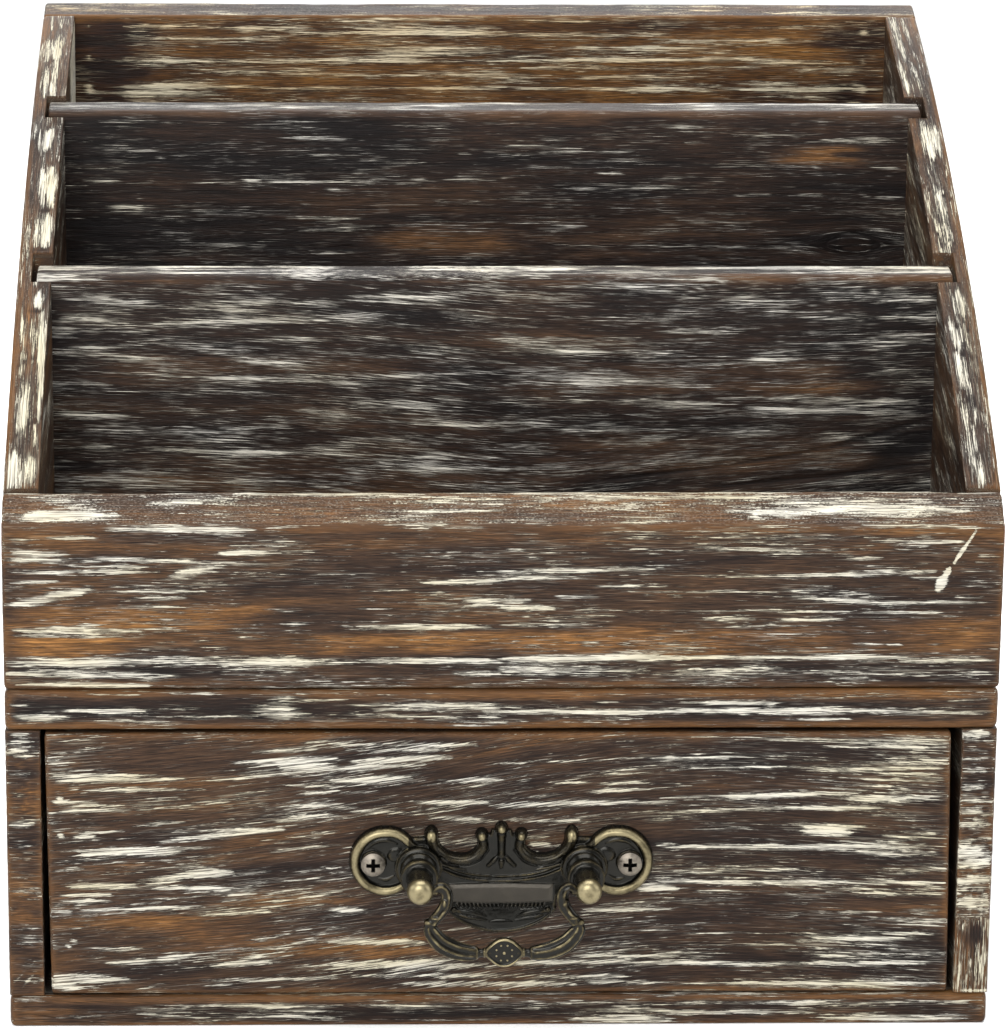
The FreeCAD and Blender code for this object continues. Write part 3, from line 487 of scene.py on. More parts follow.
def wood_material(name, painted=1.0, shade=1.0, cream_a="cfcbbf", cream_b="c6bda2", soot=0.45, fine=0.5, marks=1.0,
                  stretch=1.0, thinner=1.0, hues=("0d0807", "221711", "37271b", "4f361f", "74502a")):
    """Torched softwood with limewash left in the grain. gc is the place in the board along the grain and
    across it, in mm. look is paint, tone and edge wear; its alpha is how far a spot is charred or darkened by
    painted shade, or below zero how much it is speckled with painted glints and dark grit. fine is how much wash
    stays in thin lines, marks how much in solid strokes; stretch and thinner scale the length and the width of the
    strokes."""
    N = Nodes(name)
    gc = N.attr("gc", "Vector")
    look = N.attr("look", "Color")
    paint, tone, edge = N.split(look)
    alpha = N.attr("look", "Alpha")
    dark = N.math("MAXIMUM", alpha, 0.0)
    speck = N.math("MAXIMUM", N.mul(alpha, -1.0), 0.0)

    def grain(length, width, detail, rough=0.55, distortion=0.0, shift=0.0):
        v = N.vmul(gc, (1.0 / length, 1.0 / width, 1.0 / width))
        if shift:
            v = N.vadd(v, (shift, shift * 0.7, shift * 1.3))
        return N.noise(v, detail, rough, distortion)

    fibre = grain(9.0, 0.33, 4.0, 0.68)
    hair = grain(5.0, 0.14, 1.0, 0.5, 0.0, 51.0)
    band = grain(80.0, 3.4, 2.0, 0.5, 0.35, 11.0)
    patch = grain(46.0, 9.0, 2.0, 0.55, 0.0, 23.0)
    pores = grain(3.2, 0.16, 1.0, 0.5, 0.0, 41.0)
    grit = N.noise(N.vmul(gc, (1.6, 3.2, 3.2)), 2.0, 0.6)
    thread = grain(8.0, 0.17, 2.0, 0.55, 0.0, 61.0)

    # brush marks
    long_marks = grain(15.0 * stretch, 0.62 * thinner, 3.0, 0.68, 0.0, 3.0)
    short_marks = grain(4.6 * stretch, 0.30 * thinner, 3.0, 0.66, 0.0, 7.0)
    clusters = grain(24.0, 4.2, 2.0, 0.5, 0.0, 13.0)
    cluster = N.math("SUBTRACT", clusters, 0.5)
    value = N.add(N.mul(N.math("SUBTRACT", long_marks, 0.5), 1.15),
                  N.add(N.mul(N.math("SUBTRACT", short_marks, 0.5), 1.1),
                        N.add(N.mul(cluster, 0.8), N.mul(N.math("SUBTRACT", thread, 0.5), 0.5))))
    value = N.add(value, N.mul(paint, 0.47 * marks))
    value = N.add(value, N.mul(N.mul(speck, N.math("SUBTRACT", grit, 0.5)), 1.6))
    solid = N.smooth(value, 0.26, 0.31)
    thin = N.smooth(value, 0.17, 0.27)
    haze = N.smooth(value, -0.02, 0.30)
    # fine dark lines stay open in the paint
    open_lines = N.smooth(grain(11.0, 0.22, 2.0, 0.6, 0.0, 31.0), 0.40, 0.48)
    cover = N.mul(N.add(N.mul(solid, 0.80), N.mul(thin, 0.20)), N.add(0.12, N.mul(open_lines, 0.88)))
    cover = N.math("MAXIMUM", cover, N.mul(N.smooth(paint, 0.92, 1.25), N.add(0.45, N.mul(open_lines, 0.55))))
    # thin lines of wash that stay in the grain
    lines = N.add(N.mul(thread, 0.62), N.mul(hair, 0.38))
    lines = N.add(lines, N.add(N.mul(paint, 0.15), N.mul(cluster, 0.35)))
    washed = N.mul(N.smooth(lines, 0.555, 0.70), N.linear(paint, -0.3, 0.8, 0.3, 0.95))
    cover = N.math("MAXIMUM", cover, N.mul(washed, fine))
    cover = N.mul(cover, painted, clamp=True)

    # wood under the paint
    t = N.add(tone, N.mul(N.math("SUBTRACT", patch, 0.5), 0.9))
    t = N.add(t, N.mul(N.math("SUBTRACT", band, 0.5), 0.6))
    t = N.math("SUBTRACT", t, N.mul(haze, 0.15))
    wood = N.ramp(t, [(at, tuple(c * shade for c in srgb(hue)))
                      for at, hue in zip((0.0, 0.28, 0.50, 0.72, 1.0), hues)])
    streaky = N.mul(N.linear(fibre, 0.28, 0.72, 0.32, 1.72), N.linear(hair, 0.3, 0.7, 0.42, 1.62))
    comb = N.t.nodes.new("ShaderNodeCombineColor")
    for k in range(3):
        N.put(comb, k, streaky)
    wood = N.mix(1.0, wood, comb.outputs[0], "MULTIPLY")
    wood = N.mix(N.mul(N.smooth(pores, 0.60, 0.70), 0.5), wood, srgb("0c0807"))
    # worn, lighter wood along the edges
    worn = N.mul(N.smooth(N.add(N.mul(edge, 0.8), N.mul(N.math("SUBTRACT", patch, 0.5), 1.2)), 0.45, 0.95), 0.6)
    wood = N.mix(N.mul(worn, N.linear(tone, 0.2, 0.65, 0.05, 1.0)), wood, srgb("573b22"))
    # soot round the paint
    wood = N.mix(N.mul(N.smooth(value, 0.06, 0.24), soot * painted), wood, srgb("1d1a19"))
    # painted glints (a painted highlight) and dark grit, on top faces that are speckled
    wood = N.mix(N.mul(N.mul(speck, N.smooth(grit, 0.50, 0.68)), 0.75), wood, srgb("8d8378"))
    wood = N.mix(N.mul(N.mul(speck, N.smooth(grit, 0.48, 0.34)), 0.75), wood, srgb("1a120d"))
    # charred marks, cracks, rings and knots; in places also painted shade (the dark ends of the dividers)
    wood = N.mix(N.math("MINIMUM", dark, 0.92), wood, srgb("070505"))

    cream = N.mix(N.linear(patch, 0.35, 0.65), srgb(cream_a), srgb(cream_b))
    cream = N.mix(N.mul(N.math("SUBTRACT", 1.0, fibre), 0.35), cream, srgb("8d8676"))
    color = N.mix(cover, wood, cream)
    N.put(N.bsdf, "Base Color", color)
    rough = N.add(N.linear(fibre, 0.3, 0.7, 0.34, 0.5), N.mul(cover, 0.06))
    N.put(N.bsdf, "Roughness", rough)
    N.bsdf.inputs["Specular IOR Level"].default_value = 0.12
    height = N.add(N.mul(fibre, 0.6), N.add(N.mul(band, 0.5), N.mul(cover, 0.5)))
    height = N.add(height, N.add(N.mul(pores, 0.25), N.mul(hair, 0.25)))
    height = N.add(height, N.mul(N.mul(speck, grit), 0.8))
    N.put(N.bsdf, "Normal", N.bump(height, 0.00024, 0.85))
    return N.mat


# ----------------------------------------------------------------------
# Brush strokes, scorch marks, knots, painted highlights and painted shade that belong to one face
# ----------------------------------------------------------------------
def stroke_field(x, z, strokes, power=2.0):
    """Sum of strokes (x0, z0, x1, z1, width, strength) in mm on a face with coordinates x, z."""
    out = np.zeros_like(x)
    for x0, z0, x1, z1, w, s in strokes:
        dx, dz = x1 - x0, z1 - z0
        length = math.hypot(dx, dz) or 1e-6
        t = ((x - x0) * dx + (z - z0) * dz) / (length * length)
        tc = np.clip(t, 0, 1)
        ex, ez = x - (x0 + dx * tc), z - (z0 + dz * tc)
        d = np.hypot(ex, ez)
        end = np.abs(2 * tc - 1)
        taper = 1.0 - 0.45 * end ** 2
        f = s * (1.0 - 0.35 * end ** 4) * np.exp(-np.abs(d / (0.58 * w * taper)) ** power)
        out = np.where(np.abs(f) > np.abs(out), f, out) if s >= 0 else out + f
    return out


def step01(v, lo, hi):
    t = np.clip((v - lo) / (hi - lo), 0.0, 1.0)
    return t * t * (3 - 2 * t)


def on_front(y, strokes):
    """Strokes given by image position, width in pixels and strength, laid on the plane at depth y, in mm."""
    out = []
    for u0, v0, u1, v1, w, k in strokes:
        a, b = seen_on(u0, v0, "y", y), seen_on(u1, v1, "y", y)
        px = FOCAL_PX / ((a - EYE) @ AHEAD)
        out.append((a[0], a[2], b[0], b[2], w / px, k))
    return out


def on_slant(point, normal, px_across, strokes):
    """The same on a slanted top face, as x and y."""
    out = []
    for u0, v0, u1, v1, w, k in strokes:
        a, b = seen_on_slant(u0, v0, point, normal), seen_on_slant(u1, v1, point, normal)
        out.append((a[0], a[1], b[0], b[1], w / px_across, k))
    return out


def areas_on_front(y, areas):
    out = []
    for u0, v0, u1, v1, value in areas:
        a, b = seen_on(u0, v0, "y", y), seen_on(u1, v1, "y", y)
        out.append((a[0], a[2], b[0], b[2], value))
    return out


def area_field(base, x, z, areas, seed, soft=(9.0, 1.6)):
    """Blend soft-edged areas (x0, z0, x1, z1, value) over a base."""
    out = base
    wob = (fnoise(x / 14.0, z / 2.0, 0.0, seed, 3) - 0.5)
    for x0, z0, x1, z1, value in areas:
        lo, hi = min(z0, z1), max(z0, z1)
        zz, xx = z + wob * 2.6, x + wob * 22.0
        w = (step01(xx, x0 - soft[0], x0 + soft[0]) * (1 - step01(xx, x1 - soft[0], x1 + soft[0]))
             * step01(zz, lo - soft[1], lo + soft[1]) * (1 - step01(zz, hi - soft[1], hi + soft[1])))
        out = out * (1 - w) + value * w
    return out


def general(board, g, base_paint, base_tone, spread=0.5, tone_spread=0.25, scale=(60.0, 9.0)):
    c = fnoise(g[..., 0] / scale[0], g[..., 1] / scale[1], g[..., 2] / scale[1], board.seed + 40, 3)
    d = fnoise(g[..., 0] / 70.0, g[..., 1] / 14.0, g[..., 2] / 14.0, board.seed + 60, 3)
    return base_paint + spread * (c - 0.5) * 2, base_tone + tone_spread * (d - 0.5) * 2


def simple_look(base_paint, base_tone, spread=0.5, scale=(60.0, 9.0), tone_spread=0.25):
    def look(board, pos, g, paint, tone, dark):
        paint, tone = general(board, g, base_paint, base_tone, spread, tone_spread, scale)
        return paint, tone, dark, g
    return look


def marked_look(face_y, strokes, areas=(), faint=0.0, face_tone=0.42, rest=(0.05, 0.42), bend=None, extra=None,
                spread=0.18, tops=None, edge_tone=0.75):
    """Front face with its own strokes; everything else gets the general scatter. tops is
    (base paint, tone, strokes in x and y, speckle, streaks) for the top face."""
    lines = on_front(face_y, strokes)
    blocks = areas_on_front(face_y, areas)

    def look(board, pos, g, paint, tone, dark):
        x, y, z = pos[..., 0], pos[..., 1], pos[..., 2]
        gp, gt = general(board, g, rest[0], rest[1])
        front = np.isin(board.tags, (3, 4, 7))
        c = fnoise(x / 40.0, z / 4.0, 0.0, board.seed + 41, 3) - 0.5
        p = faint + spread * 2 * c + stroke_field(x, z, lines)
        d = fnoise(x / 60.0, z / 7.0, 0.0, board.seed + 61, 3) - 0.5
        t = area_field(face_tone + 0.25 * d, x, z, blocks, board.seed + 71)
        t = t + board.edge * 0.8 * (edge_tone - t)
        paint = np.where(front, p, gp)
        tone = np.where(front, t, gt)
        if tops is not None:
            top = np.isin(board.tags, (2, 6))
            tp = tops[0] + tops[4] * (fnoise(x / 16.0, y / 1.1, 3.0, board.seed + 43, 3) - 0.5) + stroke_field(x, y, tops[2])
            paint = np.where(top, tp, paint)
            tone = np.where(top, tops[1] + 0.2 * d, tone)
            dark = np.where(top, -tops[3], dark)
        if bend is not None:
            g = bend(board, pos, g)
        if extra is not None:
            paint, tone, dark, g = extra(board, pos, g, paint, tone, dark, front)
        return paint, tone, dark, g
    return look


T = 9.0
HW = 125.0
FRONT, BACK = -90.0, 90.0
FLOOR_Z, CEIL_Z, DECK_Z = 8.2, 78.7, 89.3

torched = wood_material("torched_wood_look")
smoky = wood_material("smoky_wood_look", shade=1.06, cream_a="dad6ce", cream_b="d6cfbd", soot=0.2, fine=0.9, marks=0.74,
                      stretch=1.6, thinner=0.55)
golden = wood_material("golden_wood_look", cream_a="cfc5ab", cream_b="c8b088", soot=0.15, fine=0.75, marks=0.9,
                       stretch=1.3, thinner=0.75, hues=("0d0705", "24140b", "3d2713", "583b1c", "7d5627"))
inner_wood = wood_material("drawer_wood_look", painted=0.35, shade=1.3)


def quad(u0, u1, v0, v1, v1b=None):
    """Corners in the order low front, low back, high back, high front."""
    return [(u0, v0), (u1, v0), (u1, v1 if v1b is None else v1b), (u0, v1)]


# Brush strokes of each visible face, with some painted highlights and painted shade among them: from (u, v) to (u, v),
# width, strength
FRONT_STROKES = [
    (105, 529.5, 255, 529.5, 7, 1.1), (255, 528, 320, 526, 3, .8), (48, 538.5, 95, 538.5, 4, 1), (13, 553, 68, 553, 8, .9),
    (98, 558, 268, 565, 5, .8), (220, 553, 265, 553, 6, .9), (170, 576, 225, 565, 8, 1.1), (10, 572, 160, 572, 5, 1),
    (13, 605, 92, 589, 9, 1.1), (92, 592, 205, 592, 4, .8), (110, 607, 190, 607, 4, .6), (13, 631, 140, 631, 7, 1.1),
    (140, 630, 190, 629, 3, .9), (13, 636, 145, 637, 4, .8), (30, 648, 48, 648, 3, .7), (8, 664, 200, 662, 7, .9),
    (8, 674, 180, 676, 8, 1), (8, 684, 150, 686, 6, 1), (110, 664, 225, 660, 10, .75), (220, 662, 357, 662, 9, 1),
    (357, 661, 500, 661, 6, 1.2), (453, 674, 500, 674, 5, .9), (418, 582, 500, 582, 5, .8),
    (338, 567.5, 392, 567.5, 1.5, .7), (360, 627, 491, 627, 5, .9), (465, 600.5, 500, 600.5, 4, .9),
    (265, 610, 303, 610, 3, .7), (281, 624.5, 312, 624.5, 2.5, .7), (287, 630, 316, 630, 2, .7),
    (335, 608.5, 389, 608.5, 2.5, .6), (500, 572.5, 664, 568, 5, .9), (500, 579, 597, 577, 6, .9),
    (593, 586.5, 667, 586.5, 3, .7), (667, 576, 822, 576, 3, .7), (800, 575, 935, 572, 6, .9), (706, 550, 800, 550, 3, .5),
    (854, 558, 886, 558, 3, .6), (870, 541, 964, 541, 8, .7), (838, 527.5, 980, 527.5, 3, .8), (629, 592, 777, 592, 3, .8),
    (555, 596.5, 597, 596.5, 6, .7), (500, 600.5, 532, 600.5, 3, .8), (500, 608, 553, 608, 4, 1), (568, 610, 996, 613, 2, .8),
    (828, 602.5, 996, 602.5, 5, .8), (703, 619, 754, 619, 4, .9), (783, 620, 841, 620, 3, .9), (700, 626, 883, 626, 1.5, .5),
    (500, 625, 577, 625, 3, .7), (851, 644, 880, 644, 2.5, .8), (885, 645, 903, 645, 2.5, .8), (925, 644, 945, 644, 2.5, .8),
    (963, 642, 965, 642, 4, .8), (500, 659, 680, 658, 7, 1.25), (680, 657.5, 900, 657.5, 4, 1.1), (900, 660, 996, 660, 6, 1),
    (500, 670, 645, 670, 9, .5), (680, 672, 985, 672, 14, .35), (10, 541, 30, 541, 4, .7), (10, 560, 60, 561, 5, .8),
    (60, 566, 180, 569, 4, .7), (10, 583, 60, 581, 4, .8), (120, 599, 190, 598, 4, .6), (977, 530, 966, 546, 1.5, 2.6),
    (968, 543, 954, 563, 2.6, 2.6), (950, 568, 945, 577, 4.6, 2.6), (945, 576, 938, 589, 7.6, 2.6),
    (862, 526, 978, 526, 2.5, .85), (864, 531.5, 955, 533, 2.5, .6), (866, 538, 950, 539, 2.5, .6), (978, 556, 1000, 556, 2.5, .7),
    (976, 563, 1000, 564, 2.2, .6), (905, 578, 942, 578, 3, .8), (952, 571, 996, 571, 2.5, .65), (955, 597, 985, 597, 2.5, .7)]
FRONT_AREAS = [
    (10, 608, 255, 628, .88), (8, 637, 112, 660, .88), (312, 634, 500, 653, .8), (500, 629, 855, 655, .78),
    (855, 622, 996, 655, .7), (10, 528, 95, 600, .66), (190, 573, 340, 600, .35), (500, 664, 996, 686, .32),
    (268, 545, 500, 575, .45), (8, 523, 130, 530, .95), (640, 524, 1000, 528.5, .8), (225, 655, 500, 668, .3), (8, 664, 225, 690, .3), (60, 680, 500, 690, .7)]
BEVEL_STROKES = [
    (25, 516, 117, 515, 8, 1.2), (145, 503, 200, 503, 4, .9), (232, 494, 419, 494, 2.5, 1), (376, 511, 505, 511, 3, .8),
    (725, 510, 967, 510, 12, .7), (752, 517, 760, 510, 6, 1.2), (6, 492, 40, 492, 2.5, 1.2), (957, 490, 996, 491, 3, 1.2),
    (30, 500, 110, 501, 6, .45), (505, 508, 700, 505, 5, .45), (600, 497, 800, 497, 3, .6), (860, 500, 940, 502, 4, .6),
    # painted highlight: the next four thin strokes along the bevel's rear edge
    (232, 491.6, 415, 491.6, 2, 1.1), (430, 491.2, 590, 490.8, 2, 1.0), (612, 490.6, 798, 490, 2, 1.1),
    (815, 490, 958, 489.4, 2, 1.1), (330, 500, 750, 498, 16, .2), (120, 503, 330, 500, 12, -.1),
    (770, 503, 840, 503, 5, .7), (880, 507, 930, 506, 4, .7)]
D1_STROKES = [
    (55, 297, 167, 306, 6, .5), (58, 320, 106, 320, 8, .4), (87, 331, 155, 331, 5, .5), (155, 324, 328, 321, 5, .55),
    (180, 302, 396, 302, 6, .5), (348, 297, 464, 297, 3, .6), (55, 348, 116, 348, 3, .6), (174, 350, 251, 350, 8, .4),
    (55, 369, 193, 377, 3, .7), (193, 377, 348, 383, 3, .7), (364, 377, 505, 372, 3, .7), (338, 405, 435, 405, 14, .35),
    (55, 416, 129, 416, 4, .7), (55, 447, 113, 447, 3, .6), (142, 450, 505, 459, 3, .6), (338, 464, 483, 464, 20, .4),
    (409, 425, 505, 425, 4, .6), (55, 461, 113, 461, 2, .6), (535, 287, 645, 287, 4, .6), (880, 300, 935, 300, 5, .6),
    (880, 318, 935, 318, 5, .6), (880, 335, 935, 335, 5, .6), (648, 332, 735, 332, 5, .6), (558, 352, 667, 352, 3, .55),
    (719, 398, 919, 401, 7, .7), (751, 409, 915, 413, 6, .65), (539, 400, 725, 404, 4, .6), (622, 414, 696, 414, 2, .6),
    (870, 445, 931, 445, 3, .6), (915, 480, 931, 480, 6, .6), (682, 295, 709, 284, 1.5, .9), (719, 282, 721, 282, 5, 1.1),
    (873, 292, 875, 292, 4, .9), (720, 316, 721, 316, 2.5, .8), (240, 340, 420, 338, 4, .4), (200, 362, 330, 363, 3, .4),
    (460, 340, 640, 338, 4, .4), (505, 385, 700, 380, 5, .4), (240, 428, 400, 430, 3, .4), (560, 430, 760, 428, 4, .45),
    (60, 480, 300, 482, 3, .4), (740, 360, 900, 358, 4, .4)]
# the block from u 840 to 940 (tone .05) is painted shade at the right end
D1_AREAS = [(132, 287, 225, 300, .5), (840, 290, 940, 495, .05), (50, 283, 500, 330, .16), (500, 365, 860, 395, .5),
            (120, 355, 470, 372, .4), (50, 470, 560, 495, .34), (560, 440, 870, 470, .42)]
# the wide mark at the right end, from (865, 470) to (930, 440), is painted shade, not a crack
D1_CRACKS_AND_SHADE = [(609, 480, 725, 466, 3.5, 1), (725, 466, 822, 450, 3.5, 1), (822, 450, 928, 419, 4, 1),
             (706, 488, 822, 477, 4, 1), (822, 477, 928, 464, 4, 1), (865, 470, 930, 440, 22, .8),
             (500, 322, 700, 337, 10, .35), (560, 345, 760, 352, 6, .25), (640, 470, 760, 458, 2, .6)]
D2_STROKES = [
    (274, 138.5, 354, 138.5, 3.5, .9), (309, 154.6, 338, 154.6, 2, .9), (155, 158, 167, 158, 2.5, .9),
    (193, 143, 245, 143, 1.5, .6), (457, 154, 473, 154, 2.5, .8), (87, 181, 119, 181, 5, 1), (126, 182.6, 155, 182.6, 3, .8),
    (187, 182.6, 213, 182.6, 2, .7), (243, 181, 258, 181, 4, 1.1), (267, 182, 361, 182, 2.5, .8), (322, 189, 341, 189, 2, .8),
    (415, 179, 425, 179, 3, .8), (444, 180, 505, 180, 2.5, .8), (110, 207.7, 145, 207.7, 4, 1), (135, 199, 142, 199, 2.5, .8),
    (280, 218, 364, 218, 3.5, .9), (155, 233, 209, 233, 2, .5), (180, 246, 274, 246, 3.5, .7), (312, 253, 357, 253, 4, .6),
    (180, 262, 219, 262, 3, .7), (664, 127, 719, 127, 2.5, .8), (680, 142, 701, 142, 3, .9), (732, 136, 822, 136, 4, .6),
    (822, 140, 903, 140, 6, .8), (526, 166.5, 577, 166.5, 3.5, .9), (500, 177.5, 542, 177.5, 3, 1),
    (597, 173.6, 624, 173.6, 3, .9), (568, 188.7, 600, 188.7, 2.5, .8), (632, 187.4, 677, 187.4, 2.5, .9),
    (730, 195.5, 790, 195.5, 3, .6), (793, 195, 829, 195, 3.5, .9), (861, 196, 869, 196, 3, .8), (874, 198, 907, 198, 3.5, .9),
    (874, 168, 900, 168, 3, .8), (815, 168, 822, 168, 4, .8), (884, 176, 893, 176, 2.5, .7), (803, 207, 822, 207, 3, .6),
    (870, 230, 890, 230, 3, .6), (561, 226, 587, 226, 3, .6), (613, 246, 680, 246, 3, .7), (680, 246, 751, 246, 2.5, .6),
    (100, 150, 180, 152, 2, .5), (380, 140, 470, 140, 2, .5), (540, 152, 640, 152, 2, .5), (250, 229, 340, 229, 2, .5),
    (400, 205, 470, 205, 2, .45), (560, 209, 660, 209, 2, .5), (690, 222, 790, 222, 2, .5)]
# the blocks at the ends, u 66 to 150 and u 868 to 912, are painted shade
D2_AREAS = [(774, 148, 864, 164, .7), (385, 225, 505, 255, .6), (66, 118, 150, 268, .02), (400, 112, 900, 121, .5), (505, 200, 760, 240, .32),
            (170, 160, 420, 178, .12), (300, 190, 600, 215, .25), (560, 250, 840, 262, .35), (868, 130, 912, 262, .12)]
BACK_STROKES = [
    (119, 26, 155, 26, 3, .7), (155, 26, 505, 30, 8, .55), (170, 39, 290, 39, 4, .6), (290, 33, 505, 33, 6, .7),
    (322, 48, 505, 48, 12, .5), (113, 61, 505, 61, 3.5, .9), (277, 74, 505, 74, 8, .5), (110, 87, 258, 87, 4, .8),
    (258, 88.5, 505, 88.5, 4, .8), (93, 93, 225, 93, 5, .6), (500, 35, 661, 35, 4, .8), (661, 41, 809, 41, 6, .6),
    (500, 60, 790, 60, 4, .9), (751, 63, 854, 63, 3, .8), (500, 77, 725, 77, 4, .6), (500, 89, 880, 89, 4, .9),
    (725, 84, 796, 84, 3, .6), (86, 25, 91, 28, 5, .9), (86, 55, 92, 60, 5, .8), (86, 84, 95, 96, 7, 1.0),
    (862, 30, 866, 34, 5, .8), (858, 60, 866, 64, 5, .7), (856, 84, 866, 92, 6, .9), (700, 28, 850, 27, 3, .6),
    # the wide stroke of strength -.45 at u 108 takes wash away: painted shade in the left inside corner
    (108, 16, 112, 100, 34, -.45), (150, 20, 500, 19, 3, .5), (520, 22, 640, 21, 3, .6), (300, 54, 500, 54, 3, .5),
    (520, 68, 760, 68, 4, .6), (560, 48, 720, 48, 4, .6)]
# the darker blocks at the ends, u 60 to 135 and u 838 to 884, are painted shade in the inside corners
BACK_AREAS = [(60, 15, 88, 104, .3), (90, 15, 135, 104, .2), (838, 15, 862, 104, .15), (862, 15, 884, 104, .3),
              (150, 40, 320, 60, .7), (500, 45, 840, 58, .7), (300, 66, 600, 86, .66), (600, 64, 840, 80, .62),
              (140, 64, 280, 84, .6), (500, 16, 700, 30, .35)]
TOP_EDGE_STROKES = [
    (53, 697, 71, 697, 2, .7), (87, 695, 142, 695, 2, .9), (142, 693, 222, 693, 2, .8), (64, 710.5, 151, 710.5, 5, 1),
    (13, 718, 67, 718, 7, .9), (67, 721.5, 155, 721.5, 2, .7), (260, 709, 296, 711, 17, 1), (171, 709, 213, 709, 2.5, .5),
    (376, 708.5, 500, 708.5, 6, .9), (352, 705, 494, 705, 4, .9), (359, 717, 454, 717, 2, .6), (485, 712, 675, 712, 5, 1.1),
    (539, 702, 552, 702, 2.5, .9), (594, 702, 614, 702, 2.5, .9), (660, 711, 905, 711, 7, 1.1), (684, 703, 784, 703, 4, .9),
    (811, 708, 849, 708, 5, 1), (851, 712, 991, 712, 9, .75), (798, 719.5, 856, 719.5, 3, .8), (10, 705, 30, 706, 3, .7),
    (180, 717, 250, 717, 2.5, .7), (300, 700, 350, 700, 2, .6)]
TOP_EDGE_AREAS = [(8, 690, 380, 724, .12), (380, 700, 996, 724, .33), (300, 692, 996, 697, .8), (460, 724, 996, 728, .85),
                  (10, 725, 460, 728, .3)]
BOTTOM_EDGE_STROKES = [
    (118, 1009, 222, 1009, 2.5, .5), (200, 1006, 340, 1006, 5, .8), (280, 1011, 340, 1011, 3, .6), (343, 1006, 452, 1006, 3, .7),
    (521, 1002, 648, 1002, 3, .6), (590, 1010, 675, 1010, 4, .8), (570, 1018.6, 675, 1018.6, 5, .8),
    (352, 1019.7, 492, 1019.7, 2, .5), (678, 1003, 971, 1003, 6, .7), (660, 1012, 815, 1012, 6, .9), (820, 1018, 971, 1018, 8, .9),
    (13, 999, 44, 999, 5, .8), (60, 1016, 120, 1016, 2, .5), (235, 1017, 330, 1017, 2, .5),
    (60, 995.6, 620, 994.6, 2, .55), (620, 994.6, 950, 994, 2, .5)]
BOTTOM_EDGE_AREAS = [(9, 992, 990, 999, .78), (9, 1003, 67, 1021, .78), (155, 1008, 660, 1022, .2), (660, 1000, 960, 1022, .4),
                     (960, 996, 992, 1022, .68)]
LEFT_STILE_STROKES = [
    (10, 735, 30, 735, 4, .8), (12, 742, 34, 742, 4, .8), (10, 750, 28, 750, 3, .8), (14, 756, 32, 756, 3, .7),
    (10, 775, 30, 774, 3, .6), (12, 795, 26, 795, 3, .7), (10, 807, 24, 807, 3, .6), (10, 825, 34, 824, 5, 1.05),
    (12, 840, 30, 840, 2, .5), (10, 853, 34, 853, 2, .5), (14, 866, 30, 866, 2, .5), (10, 878, 28, 878, 2, .5),
    (12, 890, 32, 890, 2, .5), (10, 936, 30, 936, 2.5, .6), (12, 944, 34, 944, 2, .5), (10, 952, 28, 952, 2.5, .6),
    (12, 985, 26, 970, 2.5, .6), (22, 988, 34, 974, 2.5, .6)]
RIGHT_STILE_STROKES = [
    (960, 734, 988, 735, 8, .9), (962, 750, 988, 750, 5, .8), (960, 760, 986, 760, 6, .7), (962, 772, 988, 772, 3, .5),
    (960, 786, 980, 787, 4, .5), (966, 800, 990, 800, 4, .5), (960, 812, 984, 812, 4, .5), (960, 824, 988, 824, 8, .8),
    (962, 838, 990, 838, 9, .85), (960, 852, 988, 852, 9, .85), (962, 866, 990, 866, 9, .85), (960, 880, 988, 880, 8, .8),
    (960, 903, 980, 904, 2, .5), (962, 925, 990, 925, 8, .45), (960, 945, 988, 945, 8, .45), (962, 965, 990, 965, 8, .45),
    (960, 982, 988, 982, 5, .5), (960, 990.5, 990, 990.5, 3, 1),
    (971, 890, 970, 915, 2.5, .5), (982, 892, 981, 916, 2.5, .5)]
